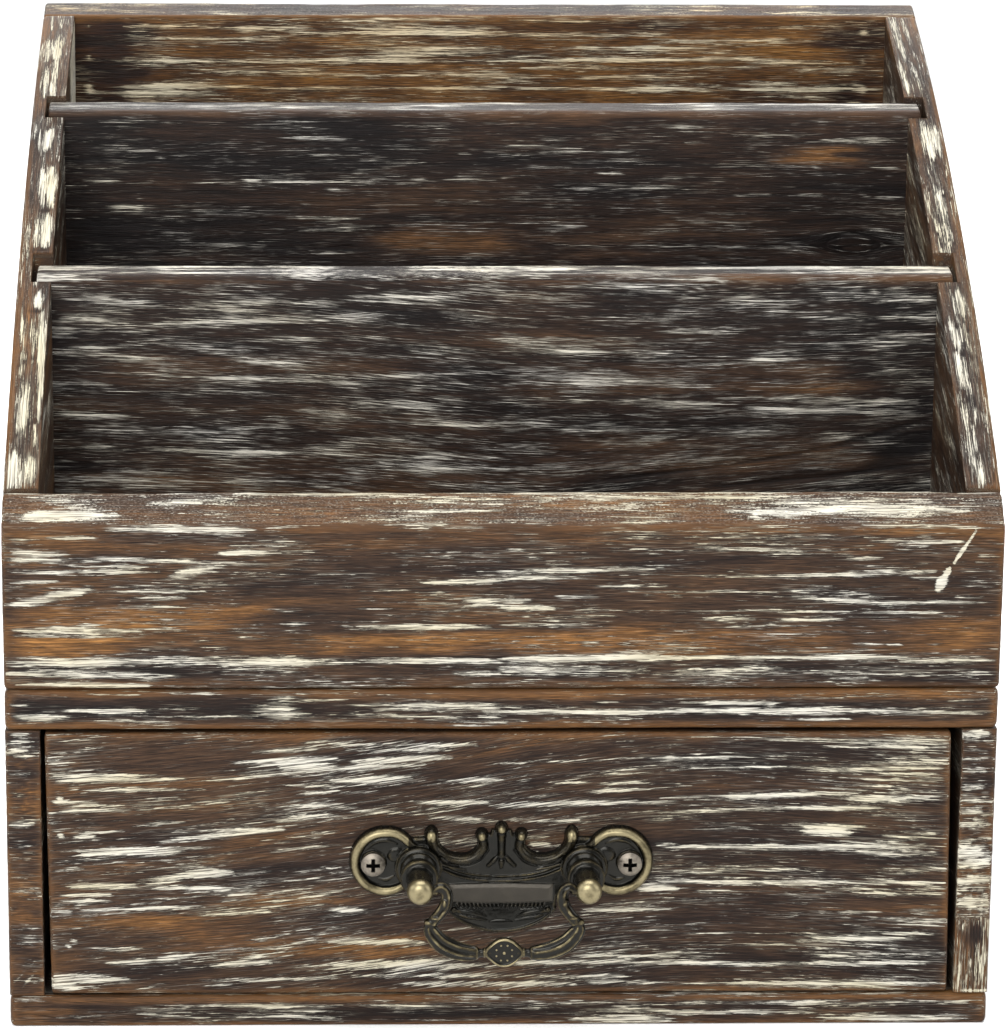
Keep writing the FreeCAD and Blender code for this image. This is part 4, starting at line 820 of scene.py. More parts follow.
DRAWER_STROKES = [
    (870, 768, 944, 768, 3, .8), (882, 774, 944, 774, 3, .75), (862, 780, 938, 780, 3, .7), (876, 786, 942, 786, 3, .75),
    (886, 792, 942, 792, 2.8, .7), (872, 798, 944, 798, 3.2, .8), (872, 826, 938, 826, 2.5, .65), (882, 836, 936, 836, 2.5, .65),
    (864, 848, 934, 848, 3.5, .75), (852, 893, 938, 893, 3.6, .75), (882, 934, 934, 934, 3.6, .75), (882, 962, 942, 962, 2.8, .65),
    (872, 970, 938, 970, 2.8, .65), (886, 978, 942, 978, 2.8, .7), (874, 984, 936, 984, 2.8, .7),
    (49, 763, 124, 763, 2, .6), (53, 770, 120, 770, 3, .8), (51, 775, 170, 776, 4, 1), (56, 781, 184, 779, 5, 1.1),
    (75, 790, 206, 790, 3.5, .9), (51, 802.5, 100, 802.5, 4, .9), (58, 811, 129, 811, 3, .7), (75, 818.6, 104, 818.6, 2, .5),
    (67, 833, 122, 832, 3, .8), (75, 836.5, 96, 836.5, 4, .9), (131, 826, 200, 820, 2.5, .8), (160, 843, 282, 828, 5, 1),
    (200, 836, 282, 829, 6, 1.1), (62, 851, 224, 847, 4, 1), (80, 854, 184, 851, 5, 1), (64, 868.6, 84, 868.6, 2.5, .7),
    (138, 881, 231, 871, 4, 1), (186, 875, 231, 872, 9, 1.1), (62, 886, 133, 886, 7, 1.15), (62, 895, 111, 895, 4, 1.1),
    (62, 901, 111, 901, 4, 1.1), (155, 888.6, 226, 888.6, 5, .9), (235, 876, 340, 867, 2.5, .8), (80, 911, 204, 906, 3, .9),
    (191, 916, 271, 911, 4, .8), (78, 949, 144, 949, 2.5, .8), (106, 964, 155, 961, 5, 1), (155, 961, 195, 955, 5, 1),
    (213, 966, 271, 962, 4, .9), (53, 976, 111, 976, 4, .9), (49, 979.6, 129, 979.6, 6, 1.1), (50, 987, 80, 987, 8, 1.2),
    (200, 981, 340, 978, 4, .9), (250, 753, 340, 747, 4, .8), (231, 763, 340, 759, 6, 1), (282, 766, 340, 768, 9, 1.1),
    (208, 780, 340, 770, 4, .7), (286, 786, 340, 786, 3, .7), (297, 794, 340, 790, 4, .8), (266, 809, 340, 804, 3, .6),
    (277, 821, 340, 815, 3, .8), (286, 837, 340, 831, 4, .8), (271, 852, 340, 845, 4, .8), (330, 745, 476, 745, 6, 1),
    (345, 750, 454, 750, 5, .9), (352, 762, 452, 757, 7, .9), (330, 769, 425, 765, 6, .9), (330, 781, 410, 778, 6, 1),
    (476, 747, 530, 747, 2.5, .6), (490, 763, 528, 763, 2.5, .7), (530, 762, 675, 757, 4, .7), (437, 780, 505, 780, 3.5, .7),
    (552, 783, 675, 783, 3, .6), (570, 792, 675, 789, 4, .8), (410, 802.6, 490, 802.6, 3.5, 1), (490, 806, 675, 801, 5, 1.1),
    (330, 808, 363, 808, 3, .6), (343, 812, 405, 812, 4, .7), (428, 817, 499, 822, 6, .7), (508, 821, 583, 821, 3.5, .8),
    (530, 845, 552, 845, 4, 1), (521, 852, 539, 852, 5, 1), (652, 843, 675, 843, 5, .8), (636, 888, 675, 888, 9, 1),
    (330, 910, 363, 910, 5, .9), (583, 909.5, 675, 909.5, 3, .9), (330, 942, 423, 942, 5, 1), (592, 930, 675, 930, 3, .6),
    (574, 956, 675, 956, 4, .7), (337, 965, 490, 965, 8, .8), (503, 962, 675, 962, 4, .8), (352, 976, 625, 976, 5, .7),
    (403, 984, 574, 984, 6, .9), (588, 982, 625, 982, 5, .8), (627, 982.5, 675, 982.5, 3, .8), (767, 740, 947, 740, 3, .7),
    (824, 747, 947, 747, 3, .8), (702, 758, 816, 753, 3, .7), (678, 768, 816, 768, 2.5, .6), (882, 780, 945, 780, 5, .9),
    (798, 770, 882, 770, 4, .8), (660, 798, 860, 793, 4, 1), (851, 796, 927, 800, 5, .8), (660, 813, 776, 807, 3, .8),
    (767, 808, 882, 808, 5, .8), (802, 827, 867, 827, 5, 1), (687, 829, 764, 829, 3, .6), (802, 833, 851, 833, 6, 1),
    (893, 820, 936, 820, 3, .8), (660, 847, 947, 846, 4.5, 1), (873, 854.5, 940, 854.5, 3.5, .9), (716, 870, 802, 870, 3, .7),
    (660, 882, 945, 883.5, 4.5, 1), (844, 889, 945, 889, 3, .8), (878, 894.5, 945, 894.5, 4, .8), (693, 892, 738, 892, 2.5, .7),
    (838, 912, 882, 912, 3, .7), (900, 911, 942, 911, 4, .8), (687, 933.4, 816, 933.4, 2.5, .7), (813, 939, 925, 939, 4, 1),
    (840, 745, 947, 745, 9, .5), (860, 762, 947, 762, 9, .45), (850, 800, 945, 800, 12, .5), (860, 850, 945, 852, 14, .5),
    (840, 887, 945, 889, 12, .45), (800, 955, 947, 957, 18, .42), (840, 981, 945, 981, 8, .5), (860, 920, 945, 921, 10, .4),
    (880, 870, 945, 870, 6, .45), (890, 783, 945, 783, 6, .45),
    (687, 944.5, 833, 944.5, 2, .6), (833, 953, 947, 953, 8, .7), (660, 963.5, 947, 963.5, 5, .9), (882, 977, 945, 977, 6, .8),
    (660, 983.5, 945, 983.5, 5, .9), (784, 983.5, 845, 983.5, 6, 1.1), (60.6, 796.5, 60.6, 801, 4, 1.4),
    (60.6, 834, 60.6, 837, 4, 1.4), (65.8, 911, 65.8, 914, 6, 1.3), (74.6, 940, 74.6, 942, 4, 1.3), (68.5, 946, 68.5, 948, 3, 1.3),
    (55.3, 954, 55.3, 955.5, 3, 1.3), (934.7, 803, 934.7, 805, 4, 1.3), (932, 833, 932, 835, 3, 1.3), (926.8, 940, 926.8, 942, 4, 1.3)]
DRAWER_AREAS = [(44, 740, 345, 992, .46), (345, 740, 600, 992, .4), (600, 740, 948, 992, .33), (44, 730, 948, 735, .7),
                (104, 863, 124, 874, .85), (60, 912, 200, 930, .75), (180, 935, 420, 958, .72), (44, 740, 60, 990, .8),
                (600, 905, 948, 930, .5), (700, 776, 948, 790, .5), (230, 895, 345, 905, .75)]


def drawer_bend(board, pos, g):
    """The grain rises to the right in the left and middle of the drawer front, and lies flat at the right."""
    x = np.clip(pos[..., 0], -130, 60.0)
    up = np.where(x < 0, 0.12 * x, 0.12 * (x - x * x / 120.0))
    g = g.copy()
    g[..., 1] = g[..., 1] - up - 1.6 * np.sin(pos[..., 0] / 31.0)
    return g


def d1_bend(board, pos, g):
    x, z = pos[..., 0], pos[..., 2]
    g = g.copy()
    low = 1 - step01(z, 118.0, 150.0)
    g[..., 1] = g[..., 1] - low * 0.15 * np.clip(x - 15.0, 0, 120) - 0.05 * np.clip(-x, 0, 120) + 1.2 * np.sin(x / 37.0)
    return g


def d1_extra(face_y, cracks):
    """The cracks with a painted shade at the right end, and a rubbed, streaked front edge that turns brown toward the
    right end; its pale streaks stand partly for painted highlights.
    """
    lines = add_cracks(face_y, cracks)

    def extra(board, pos, g, paint, tone, dark, front):
        paint, tone, dark, g = lines(board, pos, g, paint, tone, dark, front)
        x = pos[..., 0]
        wob = fnoise(x / 11.0, 2.0, 4.0, board.seed + 47, 2) - 0.5
        w = (board.tags == 7) * (1 - step01(x + 60 * wob, 10.0, 70.0))
        across = pos[..., 1] - pos[..., 2]
        streak = 0.5 + 2.0 * (fnoise(x / 16.0, across / 1.1, 3.0, board.seed + 45, 3) - 0.5)
        return paint * (1 - w) + streak * w, tone * (1 - w) + 0.16 * w, dark, g
    return extra


def add_cracks(face_y, cracks):
    lines = on_front(face_y, cracks)

    def extra(board, pos, g, paint, tone, dark, front):
        d = stroke_field(pos[..., 0], pos[..., 2], lines)
        dark = np.where(front, np.maximum(dark, d * 0.85), dark)
        paint = np.where(front, paint - 0.8 * np.clip(d, 0, 1), paint)
        return paint, tone, dark, g
    return extra


KNOT = seen_on(853, 245, "y", 31.7)


def d2_extra(board, pos, g, paint, tone, dark, front):
    """A small knot near the right end, with the grain flowing round it."""
    dx, dz = pos[..., 0] - KNOT[0], pos[..., 2] - KNOT[2]
    r = np.hypot(dx / 5.4, dz / 3.2)
    g = g.copy()
    g[..., 1] = g[..., 1] - 2.6 * np.tanh(dz / 1.5) * np.exp(-(r / 1.9) ** 2)
    ring = np.exp(-((r - 0.72) / 0.16) ** 2)
    core = np.exp(-(r / 0.5) ** 2)
    near = np.exp(-(r / 1.25) ** 4)
    paint = np.where(front, paint * (1 - near) - 0.3 * near + 0.52 * ring + 0.3 * core, paint)
    tone = np.where(front, tone * (1 - near) + 0.3 * near, tone)
    dark = np.where(front, np.maximum(dark, 0.6 * np.exp(-((r - 1.05) / 0.2) ** 2)), dark)
    # painted shade: the left end is darkened, as it lies in deep shade
    dark = np.where(front, np.maximum(dark, 0.35 * np.exp(-((pos[..., 0] + 118.0) / 22.0) ** 2)), dark)
    return paint, tone, dark, g


boards = {}

bevel_n = (0.0, -8.1, 9.0)
boards["front_panel"] = Board(
    "front_panel_wood", "sorter_front_panel", "cabinet", "x", -HW, HW, 1.1,
    quad(FRONT, FRONT + T, DECK_Z, DECK_Z + 42.0, DECK_Z + 50.1), (1.5, 0.3, 1.0, 2.2),
    (even(3), even(22), even(26), even(100)), 0.9, seed=3, material=torched,
    look=marked_look(-90.0, FRONT_STROKES, FRONT_AREAS, faint=0.0, face_tone=0.47, rest=(0.0, 0.25),
                     # on the bevel (tops) the speckle is painted glints and sheen, and its strokes include a painted
                     # highlight along the rear edge
                     tops=(0.14, 0.66, on_slant((0, -90, DECK_Z + 42.0), bevel_n, 3.8, BEVEL_STROKES), 0.45, 0.7),
                     edge_tone=0.56), stations=tuple(np.arange(106.5, 121.6, 0.25)))

# the dividers' tops (tops) get long pale streaks that are partly wash and partly painted highlights of the lamps
for key, node, y0, lo, hi, x0, x1, seed, look in (
        ("front_divider", "sorter_front_divider", -27.0, 93.8, 95.1, -119.95, 120.35, 5,
         marked_look(-27.0, D1_STROKES, D1_AREAS, faint=0.09, face_tone=0.22, rest=(0.0, 0.15), bend=d1_bend,
                     extra=d1_extra(-27.0, D1_CRACKS_AND_SHADE), tops=(0.54, 0.14, [], 0.1, 2.3), edge_tone=0.5)),
        ("rear_divider", "sorter_rear_divider", 31.7, 128.7, 130.3, -120.55, 119.75, 8,
         marked_look(31.7, D2_STROKES, D2_AREAS, faint=-0.15, face_tone=0.16, rest=(0.0, 0.15), extra=d2_extra,
                     tops=(0.24, 0.16, [], 0.15, 1.9), edge_tone=0.42))):
    fine = 60.0
    boards[key] = Board(
        key + "_wood", node, "cabinet", "x", x0, x1, 2.0,
        quad(y0, y0 + T, DECK_Z, DECK_Z + lo, DECK_Z + hi), (0.3, 0.3, 1.0, 1.9),
        (even(3), even(50), even(20), parts((0, (fine + 8) / lo, int((fine + 8) / 0.45)), ((fine + 8) / lo, 1.0, 14))),
        0.7, seed=seed, material=smoky, look=look)

boards["back_panel"] = Board(
    "back_panel_wood", "sorter_back_panel", "cabinet", "x", -HW, HW, 2.0,
    quad(BACK - T, BACK, DECK_Z, DECK_Z + 149.3, DECK_Z + 152.6), (0.3, 0.9, 1.5, 0.8),
    (even(3), even(84), even(16), parts((0, 0.28, 90), (0.28, 1.0, 36))), 0.9, seed=11,
    material=golden, look=marked_look(81.0, BACK_STROKES, BACK_AREAS, faint=0.02, face_tone=0.6, rest=(0.05, 0.35),
                                      tops=(0.05, 0.3, [], 0.3, 1.2)))


def slope_height(y):
    """Height of the sorter sides' curved top edge at y."""
    p, q = np.array([-81.0, DECK_Z + 50.1]), np.array([81.0, DECK_Z + 149.3])
    r = 540.0
    mid, d = (p + q) / 2, q - p
    half = np.linalg.norm(d) / 2
    n = np.array([d[1], -d[0]]) / np.linalg.norm(d)     # to the lower right, where the centre lies
    c = mid + n * math.sqrt(r * r - half * half)
    return c[1] + math.sqrt(max(r * r - (y - c[0]) ** 2, 0))


def on_slope(strokes):
    out = []
    for u0, v0, u1, v1, w, k in strokes:
        a, b = seen_on_slope(u0, v0, slope_height), seen_on_slope(u1, v1, slope_height)
        out.append((a[0], a[1], b[0], b[1], w / 3.7, k))
    return out


# the cut tops of the sides: cream left in the low spots, growth rings across
LEFT_TOP_CREAM = on_slope([
    (62, 8, 60, 30, 9, .6), (54, 10, 52, 30, 5, .5), (60, 30, 56, 60, 9, .65), (50, 34, 48, 60, 5, .5),
    (56, 60, 52, 100, 8, .6), (47, 66, 45, 98, 5, .5), (50, 130, 46, 150, 9, .75), (41, 132, 39, 150, 4, .5),
    (52, 167, 50, 208, 9, .95), (44, 170, 42, 206, 4, .6), (47, 214, 44, 247, 11, .9), (38, 218, 36, 246, 4, .6),
    (36, 272, 35, 286, 5, .7), (39, 292, 37, 308, 8, .85), (43, 311, 39, 420, 6, .95), (34, 320, 32, 370, 4, .5),
    (25, 318, 22, 345, 9, .4), (24, 350, 20, 372, 8, .5), (25, 382, 21, 430, 13, .65), (34, 425, 33, 445, 4, .4),
    (14, 455, 12, 483, 9, .95), (30, 455, 30, 483, 8, .85), (22, 470, 21, 484, 5, .6)])
LEFT_TOP_RINGS = on_slope([
    (38, 127, 66, 127, 1.6, .9), (34, 164, 62, 162, 1.6, 1), (28, 207, 58, 212, 1.8, 1), (30, 250, 50, 249, 1.6, .9),
    (20, 312, 44, 310, 1.6, 1), (14, 368, 27, 360, 1.6, .8), (27, 360, 40, 354, 1.6, .8), (11, 440, 27, 426, 1.6, .9),
    (27, 426, 43, 416, 1.6, .9), (44, 182, 56, 186, 1.1, .6), (40, 232, 52, 230, 1.1, .6), (44, 172, 43, 205, 1.0, .6)])
RIGHT_TOP_CREAM = on_slope([
    (893, 22, 905, 60, 7, .7), (903, 20, 915, 58, 5, .55), (899, 62, 910, 96, 7, .65), (912, 62, 922, 94, 5, .5),
    (922, 122, 932, 158, 9, .8), (934, 124, 941, 156, 5, .6), (931, 162, 938, 182, 5, .45), (936, 187, 946, 222, 8, .6),
    (945, 222, 951, 246, 7, .55), (940, 248, 944, 256, 5, .5), (956, 290, 964, 316, 8, .9), (950, 292, 956, 312, 4, .5),
    (949, 319, 960, 350, 8, .55), (964, 322, 968, 352, 6, .5), (954, 352, 966, 386, 8, .5), (958, 392, 966, 420, 5, .35),
    (960, 442, 966, 462, 3, .45), (972, 446, 976, 478, 3, .45), (980, 470, 984, 484, 5, .7)])
RIGHT_TOP_RINGS = on_slope([
    (915, 149, 932, 160, 1.5, .9), (932, 160, 948, 170, 1.5, .9), (920, 184, 938, 193, 1.5, .9), (938, 193, 956, 200, 1.5, .9),
    (926, 225, 944, 237, 1.5, .9), (944, 237, 962, 247, 1.5, .9), (945, 322, 979, 333, 1.5, .9), (940, 342, 981, 361, 1.5, .9),
    (956, 389, 986, 412, 1.5, .9), (950, 360, 984, 378, 1.1, .6), (905, 70, 925, 80, 1.2, .6)])


def side_look(sign, cream, rings):
    def look(board, pos, g, paint, tone, dark):
        x, y, z = pos[..., 0], pos[..., 1], pos[..., 2]
        paint, tone = general(board, g, -0.02, 0.32)
        # the outer face is lighter and browner than the soot-black insides
        inner = np.isin(board.tags, (1,) if sign < 0 else (3,))
        outer = np.isin(board.tags, (3,) if sign < 0 else (1,))
        tone = np.where(inner, tone + 0.14, tone)
        paint = np.where(inner, paint + 0.02, paint)
        tone = np.where(outer, tone + 0.12, tone)
        paint = np.where(outer, paint + 0.12, paint)
        if sign < 0:        # painted light: a pale haze of light at the back end of the left side's inner face, painted as wash
            w = step01(y, 54.0, 68.0) * step01(z, 175.0, 192.0)
            paint = np.where(inner, paint + 1.25 * w, paint)
        c, q = math.cos(math.radians(20.0)), math.sin(math.radians(20.0))
        turned_g = np.stack([y * c + z * q, z * c - y * q, x], axis=-1) + board.seed * 37.3
        g = np.where(inner[..., None], turned_g, g)
        paint = np.where(inner, paint + 0.12, paint)
        top = np.isin(board.tags, (2, 6, 7))
        g = np.where(top[..., None], np.stack([y * 1.17, x, x * 0.0], axis=-1) + board.seed * 51.7, g)
        speck = fnoise(x / 1.3, y / 12.0, 0.0, board.seed + 81, 3) - 0.5
        p = 0.12 + 0.8 * speck + 1.15 * stroke_field(x, y, cream)
        d = stroke_field(x, y, rings)
        paint = np.where(top, p - 0.6 * d, paint)
        t = 0.52 + 0.5 * (fnoise(x / 6.0, y / 12.0, 0.0, board.seed + 83, 3) - 0.5) - 0.2 * np.clip(p, 0, 1)
        outside = step01(-sign * x, -HW, -HW + 2.6)      # 0 at the outer edge
        t = t + (1 - outside) * 0.28
        tone = np.where(top, t, tone)
        # the rings are charred dark; elsewhere the top gets painted glints (the speckle below zero)
        dark = np.where(top, np.where(d > 0.12, d * 0.75, -0.15), dark)
        return paint, tone, dark, g
    return look


SLOTS = ((-27.1, -17.9), (31.6, 40.8))
SLOT_X = 121.2


def side_corners(sign):
    x0, x1 = (-HW, -HW + T) if sign < 0 else (HW - T, HW)

    def corners(y):
        a, b = x0, x1
        if any(lo < y < hi for lo, hi in SLOTS):
            a, b = (x0, -SLOT_X) if sign < 0 else (SLOT_X, x1)
        return quad(a, b, DECK_Z, slope_height(y))
    return corners


SLOT_STATIONS = tuple(v + d for lo, hi in SLOTS for v in (lo, hi) for d in (-0.03, 0.03))

for key, node, sign, seed, cream, rings in (
        ("left_side", "sorter_left_side", -1, 14, LEFT_TOP_CREAM, LEFT_TOP_RINGS),
        ("right_side", "sorter_right_side", 1, 17, RIGHT_TOP_CREAM, RIGHT_TOP_RINGS)):
    rad = (1.5, 0.3, 0.5, 1.2) if sign < 0 else (0.3, 1.5, 1.2, 0.5)
    boards[key] = Board(
        key + "_wood", node, "cabinet", "y", -81.0, 81.0, 1.1, side_corners(sign), rad,
        (even(3), even(96), even(18), even(96)), 0.3, seed=seed, material=torched, stations=SLOT_STATIONS,
        look=side_look(sign, cream, rings))

boards["top_board"] = Board(
    "top_board_wood", "cabinet_top_board", "cabinet", "x", -HW, HW, 2.0,
    quad(FRONT, BACK, CEIL_Z, DECK_Z), (1.5, 1.5, 1.5, 1.5),
    (even(45), even(8), even(90), even(28)), 1.5, seed=20, material=torched,
    look=marked_look(-90.0, TOP_EDGE_STROKES, TOP_EDGE_AREAS, faint=-0.05, face_tone=0.3, rest=(0.05, 0.3)))
boards["bottom_board"] = Board(
    "bottom_board_wood", "cabinet_bottom_board", "cabinet", "x", -HW, HW, 2.0,
    quad(FRONT, BACK, 0.0, FLOOR_Z), (0.5, 1.5, 1.5, 1.5),
    (even(45), even(8), even(90), even(24)), 1.5, seed=23, material=torched,
    look=marked_look(-90.0, BOTTOM_EDGE_STROKES, BOTTOM_EDGE_AREAS, faint=-0.05, face_tone=0.35, rest=(0.05, 0.35)))


def stile_look(strokes, areas, faint, face_tone, bare_below=None, speck=0.0, weight=1.0):
    lines = on_front(-90.0, strokes)
    blocks = areas_on_front(-90.0, areas)

    def look(board, pos, g, paint, tone, dark):
        x, z = pos[..., 0], pos[..., 2]
        paint, tone = general(board, g, 0.12, 0.45)
        front = np.isin(board.tags, (0, 4, 5))
        p = faint + 0.35 * (fnoise(x / 5.0, z / 2.2, 0.0, board.seed + 41, 3) - 0.5) * 2 + weight * stroke_field(x, z, lines)
        p = p + speck * (fnoise(x / 1.7, z / 0.9, 4.0, board.seed + 47, 2) - 0.5) * 2
        t = area_field(face_tone + 0.2 * (fnoise(x / 9.0, z / 5.0, 0.0, board.seed + 61, 3) - 0.5), x, z, blocks,
                       board.seed + 71, soft=(1.0, 2.5))
        t = t + board.edge * 0.7 * (0.6 - t)
        paint = np.where(front, p, paint)
        tone = np.where(front, t, tone)
        # end grain: short marks across the board
        g = np.where(front[..., None], np.stack([x * 1.4, z, pos[..., 1]], axis=-1) + board.seed * 91.7, g)
        if bare_below is not None:
            bare = front & (z < bare_below + 2.2 * (fnoise(x / 0.9, 3.0, 1.0, board.seed + 49, 2) - 0.5))
            g = np.where(bare[..., None], np.stack([z, x * 0.8, pos[..., 1]], axis=-1) + board.seed * 91.7, g)
            w = fnoise(z / 3.4, x / 1.3, 2.0, board.seed + 43, 3) - 0.5
            fine_w = fnoise(z / 1.2, x / 0.7, 5.0, board.seed + 44, 2) - 0.5
            low = np.clip((bare_below - 8.0 - z) / 9.0, 0, 1) * np.clip((HW - 2.0 - x) / 5.0, 0, 1)
            knot = np.exp(-((z - bare_below + 4.0) / 3.4) ** 2 - ((x - HW + 3.4) / 3.2) ** 2)
            wash = 0.5 * np.exp(-((z - bare_below - 9.0) / 8.0) ** 2)
            paint = np.where(front & ~bare, paint + wash * (0.6 + 1.2 * fine_w), paint)
            paint = np.where(bare & (z > FLOOR_Z + 1.2), 0.25 + 0.85 * w + 0.4 * fine_w + 0.3 * low - 0.3 * knot, paint)
            tone = np.where(bare, 0.68 + 0.3 * w - 0.4 * knot, tone)
        return paint, tone, dark, g
    return look


BARE_TOP = seen_on(975, 919, "y", -90.0)[2]
for key, node, sign, seed, look in (
        ("cabinet_left", "cabinet_left_side", -1, 26,
         stile_look(LEFT_STILE_STROKES, [(8, 880, 40, 930, .66), (8, 760, 40, 870, .38), (30, 730, 40, 990, .7)], 0.02, 0.48)),
        ("cabinet_right", "cabinet_right_side", 1, 29,
         stile_look(RIGHT_STILE_STROKES, [(958, 889, 992, 918, .66), (958, 918, 992, 990, .7)], 0.14, 0.5, BARE_TOP, 0.42, 0.72))):
    x0, x1 = (-HW, -HW + T) if sign < 0 else (HW - T, HW)
    rad = (0.9, 0.5, 0.3, 0.9) if sign < 0 else (0.5, 0.9, 0.9, 0.3)

    def side_grain(p, t):
        return np.stack([p[..., 1], p[..., 2], p[..., 0]], axis=-1)
    boards[key] = Board(
        key + "_wood", node, "cabinet", "z", FLOOR_Z, CEIL_Z, 0.5,
        quad(x0, x1, FRONT, BACK), rad,
        (even(16), even(60), even(3), even(60)), 0.2, seed=seed, material=torched, grain=side_grain, look=look)

boards["cabinet_back"] = Board(
    "cabinet_back_wood", "cabinet_back_board", "cabinet", "x", -116.0, 116.0, 2.5,
    quad(81.0, 90.0, FLOOR_Z, CEIL_Z), (0.3, 0.3, 0.3, 0.3),
    (even(3), even(60), even(3), even(30)), 0.3, seed=32, material=torched, look=simple_look(0.0, 0.45))


def front_warp(pos):
    z = (pos[..., 2] - 8.5) / 69.5
    left = -114.3 + (-115.1 + 114.3) * z
    right = 114.6 + (113.3 - 114.6) * z
    f = (pos[..., 0] + 114.5) / 229.0
    out = pos.copy()
    out[..., 0] = left + (right - left) * f
    return out


boards["drawer_front"] = Board(
    "drawer_front_wood", "drawer_front", "drawer", "x", -114.5, 114.5, 1.3,
    quad(-90.0, -81.0, 8.5, 78.0), (1.1, 0.3, 0.4, 1.1),
    (even(3), even(28), even(8), even(154)), 0.9, seed=35, material=torched, warp=front_warp,
    look=marked_look(-90.0, DRAWER_STROKES, DRAWER_AREAS, faint=0.02, face_tone=0.42, rest=(-0.1, 0.45),
                     bend=drawer_bend, spread=0.22, edge_tone=0.6))

for key, node, seed in (("drawer_left", "drawer_left_side", 38), ("drawer_right", "drawer_right_side", 41)):
    lo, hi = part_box(node)
    boards[key] = Board(
        key + "_wood", node, "drawer", "y", lo[1] / MM, hi[1] / MM, 2.5,
        quad(lo[0] / MM, hi[0] / MM, lo[2] / MM, hi[2] / MM), (0.3, 0.3, 1.2, 1.2),
        (even(3), even(40), even(10), even(40)), 0.3, seed=seed, material=inner_wood, slot="drawer_wood",
        look=simple_look(-0.3, 0.6))
lo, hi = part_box("drawer_back")
boards["drawer_back"] = Board(
    "drawer_back_wood", "drawer_back", "drawer", "x", lo[0] / MM, hi[0] / MM, 2.5,
    quad(lo[1] / MM, hi[1] / MM, lo[2] / MM, hi[2] / MM), (0.3, 0.3, 1.2, 1.2),
    (even(3), even(40), even(10), even(40)), 0.3, seed=44, material=inner_wood, slot="drawer_wood",
    look=simple_look(-0.3, 0.6))

for b in boards.values():
    b.build()


# ----------------------------------------------------------------------
# The pull: a cast backplate with relief, two turned posts and the bail
# ----------------------------------------------------------------------
def brass_material():
    """Blackened brass, rubbed bright where it stands proud; on the posts the red channel also carries a painted
    highlight along the upper side of the shaft. wear is red; green marks the plain panel.
    """
    N = Nodes("antique_brass_look")
    wear, panel, _ = N.split(N.attr("wear", "Color"))
    tc = N.t.nodes.new("ShaderNodeTexCoord")
    v = tc.outputs["Object"]
    fine = N.noise(v, 3.0, 0.6, 0.0, 1500.0)
    blotch = N.noise(v, 3.0, 0.55, 0.0, 260.0)
    w = N.add(wear, N.add(N.mul(N.math("SUBTRACT", fine, 0.5), 0.6), N.mul(N.math("SUBTRACT", blotch, 0.5), 1.5)))
    rub = N.smooth(w, 0.15, 1.35)
    dark = N.mix(blotch, srgb("0e0f0d"), srgb("26241f"))
    dark = N.mix(N.mul(panel, 0.9), dark, N.mix(blotch, srgb("37342f"), srgb("4a453d")))
    bright = N.mix(N.smooth(w, 0.75, 1.7), srgb("3d3626"), srgb("8b8164"))
    N.put(N.bsdf, "Base Color", N.mix(rub, dark, bright))
    N.put(N.bsdf, "Metallic", N.linear(rub, 0.0, 1.0, 0.75, 1.0))
    rough = N.add(N.linear(rub, 0.0, 1.0, 0.2, 0.36), N.mul(N.math("SUBTRACT", fine, 0.4), 0.22))
    N.put(N.bsdf, "Roughness", N.add(rough, N.mul(panel, 0.2)))
    h = N.add(N.mul(fine, 0.5), blotch)
    N.put(N.bsdf, "Normal", N.bump(h, 0.00005, 0.7))
    return N.mat


brass = brass_material()


def rub_high_spots(me, scale=0.055, rounds=14, lift=None, panel=None):
    """Write how far each point stands proud of its surroundings to the attribute wear."""
    n = len(me.vertices)
    co = np.zeros(n * 3)
    me.vertices.foreach_get("co", co)
    co = co.reshape(-1, 3) / MM
    no = np.zeros(n * 3)
    me.vertices.foreach_get("normal", no)
    no = no.reshape(-1, 3)
    e = np.zeros(len(me.edges) * 2, np.int64)
    me.edges.foreach_get("vertices", e)
    e = e.reshape(-1, 2)
    deg = np.bincount(e.ravel(), minlength=n).astype(float)
    deg[deg == 0] = 1

    def blur(v):
        out = np.zeros_like(v)
        for k in range(v.shape[1]):
            out[:, k] = np.bincount(e[:, 0], v[e[:, 1], k], n) + np.bincount(e[:, 1], v[e[:, 0], k], n)
        return out / deg[:, None]
    sm = co.copy()
    for _ in range(rounds):
        sm = 0.4 * sm + 0.6 * blur(sm)
    proud = ((co - sm) * no).sum(axis=1) / scale
    proud = proud[:, None]
    for _ in range(2):
        proud = 0.5 * proud + 0.5 * blur(proud)
    w = np.clip(proud[:, 0], -1.5, 0.95)
    if lift is not None:
        w = w + lift(co)
    g = panel(co) if panel is not None else np.zeros(n)
    at = me.attributes.new("wear", "FLOAT_COLOR", "POINT")
    at.data.foreach_set("color", np.stack([w, g, w * 0, w * 0 + 1], axis=1).ravel().astype(np.float32))


def metal_piece(name, verts, faces, body, nodes, mat, lift=None, panel=None, scale=0.055, rounds=14):
    me = bpy.data.meshes.new(name)
    me.from_pydata([tuple(v) for v in np.asarray(verts) * MM], [], [tuple(int(i) for i in f) for f in faces])
    me.validate()
    me.polygons.foreach_set("use_smooth", np.ones(len(me.polygons), bool))
    me.update()
    rub_high_spots(me, scale, rounds, lift, panel)
    ob = bpy.data.objects.new(name, me)
    bpy.context.scene.collection.objects.link(ob)
    me.materials.append(mat)
    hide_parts(*nodes)
    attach(ob, body)
    return ob


def capsule_chain(X, Z, pts):
    """Signed distance to a chain of tapering strokes (x, z, half width), and the half width there."""
    best = np.full(X.shape, 1e3)
    width = np.ones(X.shape)
    for (x0, z0, w0), (x1, z1, w1) in zip(pts[:-1], pts[1:]):
        dx, dz = x1 - x0, z1 - z0
        t = np.clip(((X - x0) * dx + (Z - z0) * dz) / (dx * dx + dz * dz), 0, 1)
        w = w0 + (w1 - w0) * t
        d = np.hypot(X - x0 - dx * t, Z - z0 - dz * t) - w
        near = d < best
        best = np.where(near, d, best)
        width = np.where(near, w, width)
    return best, width


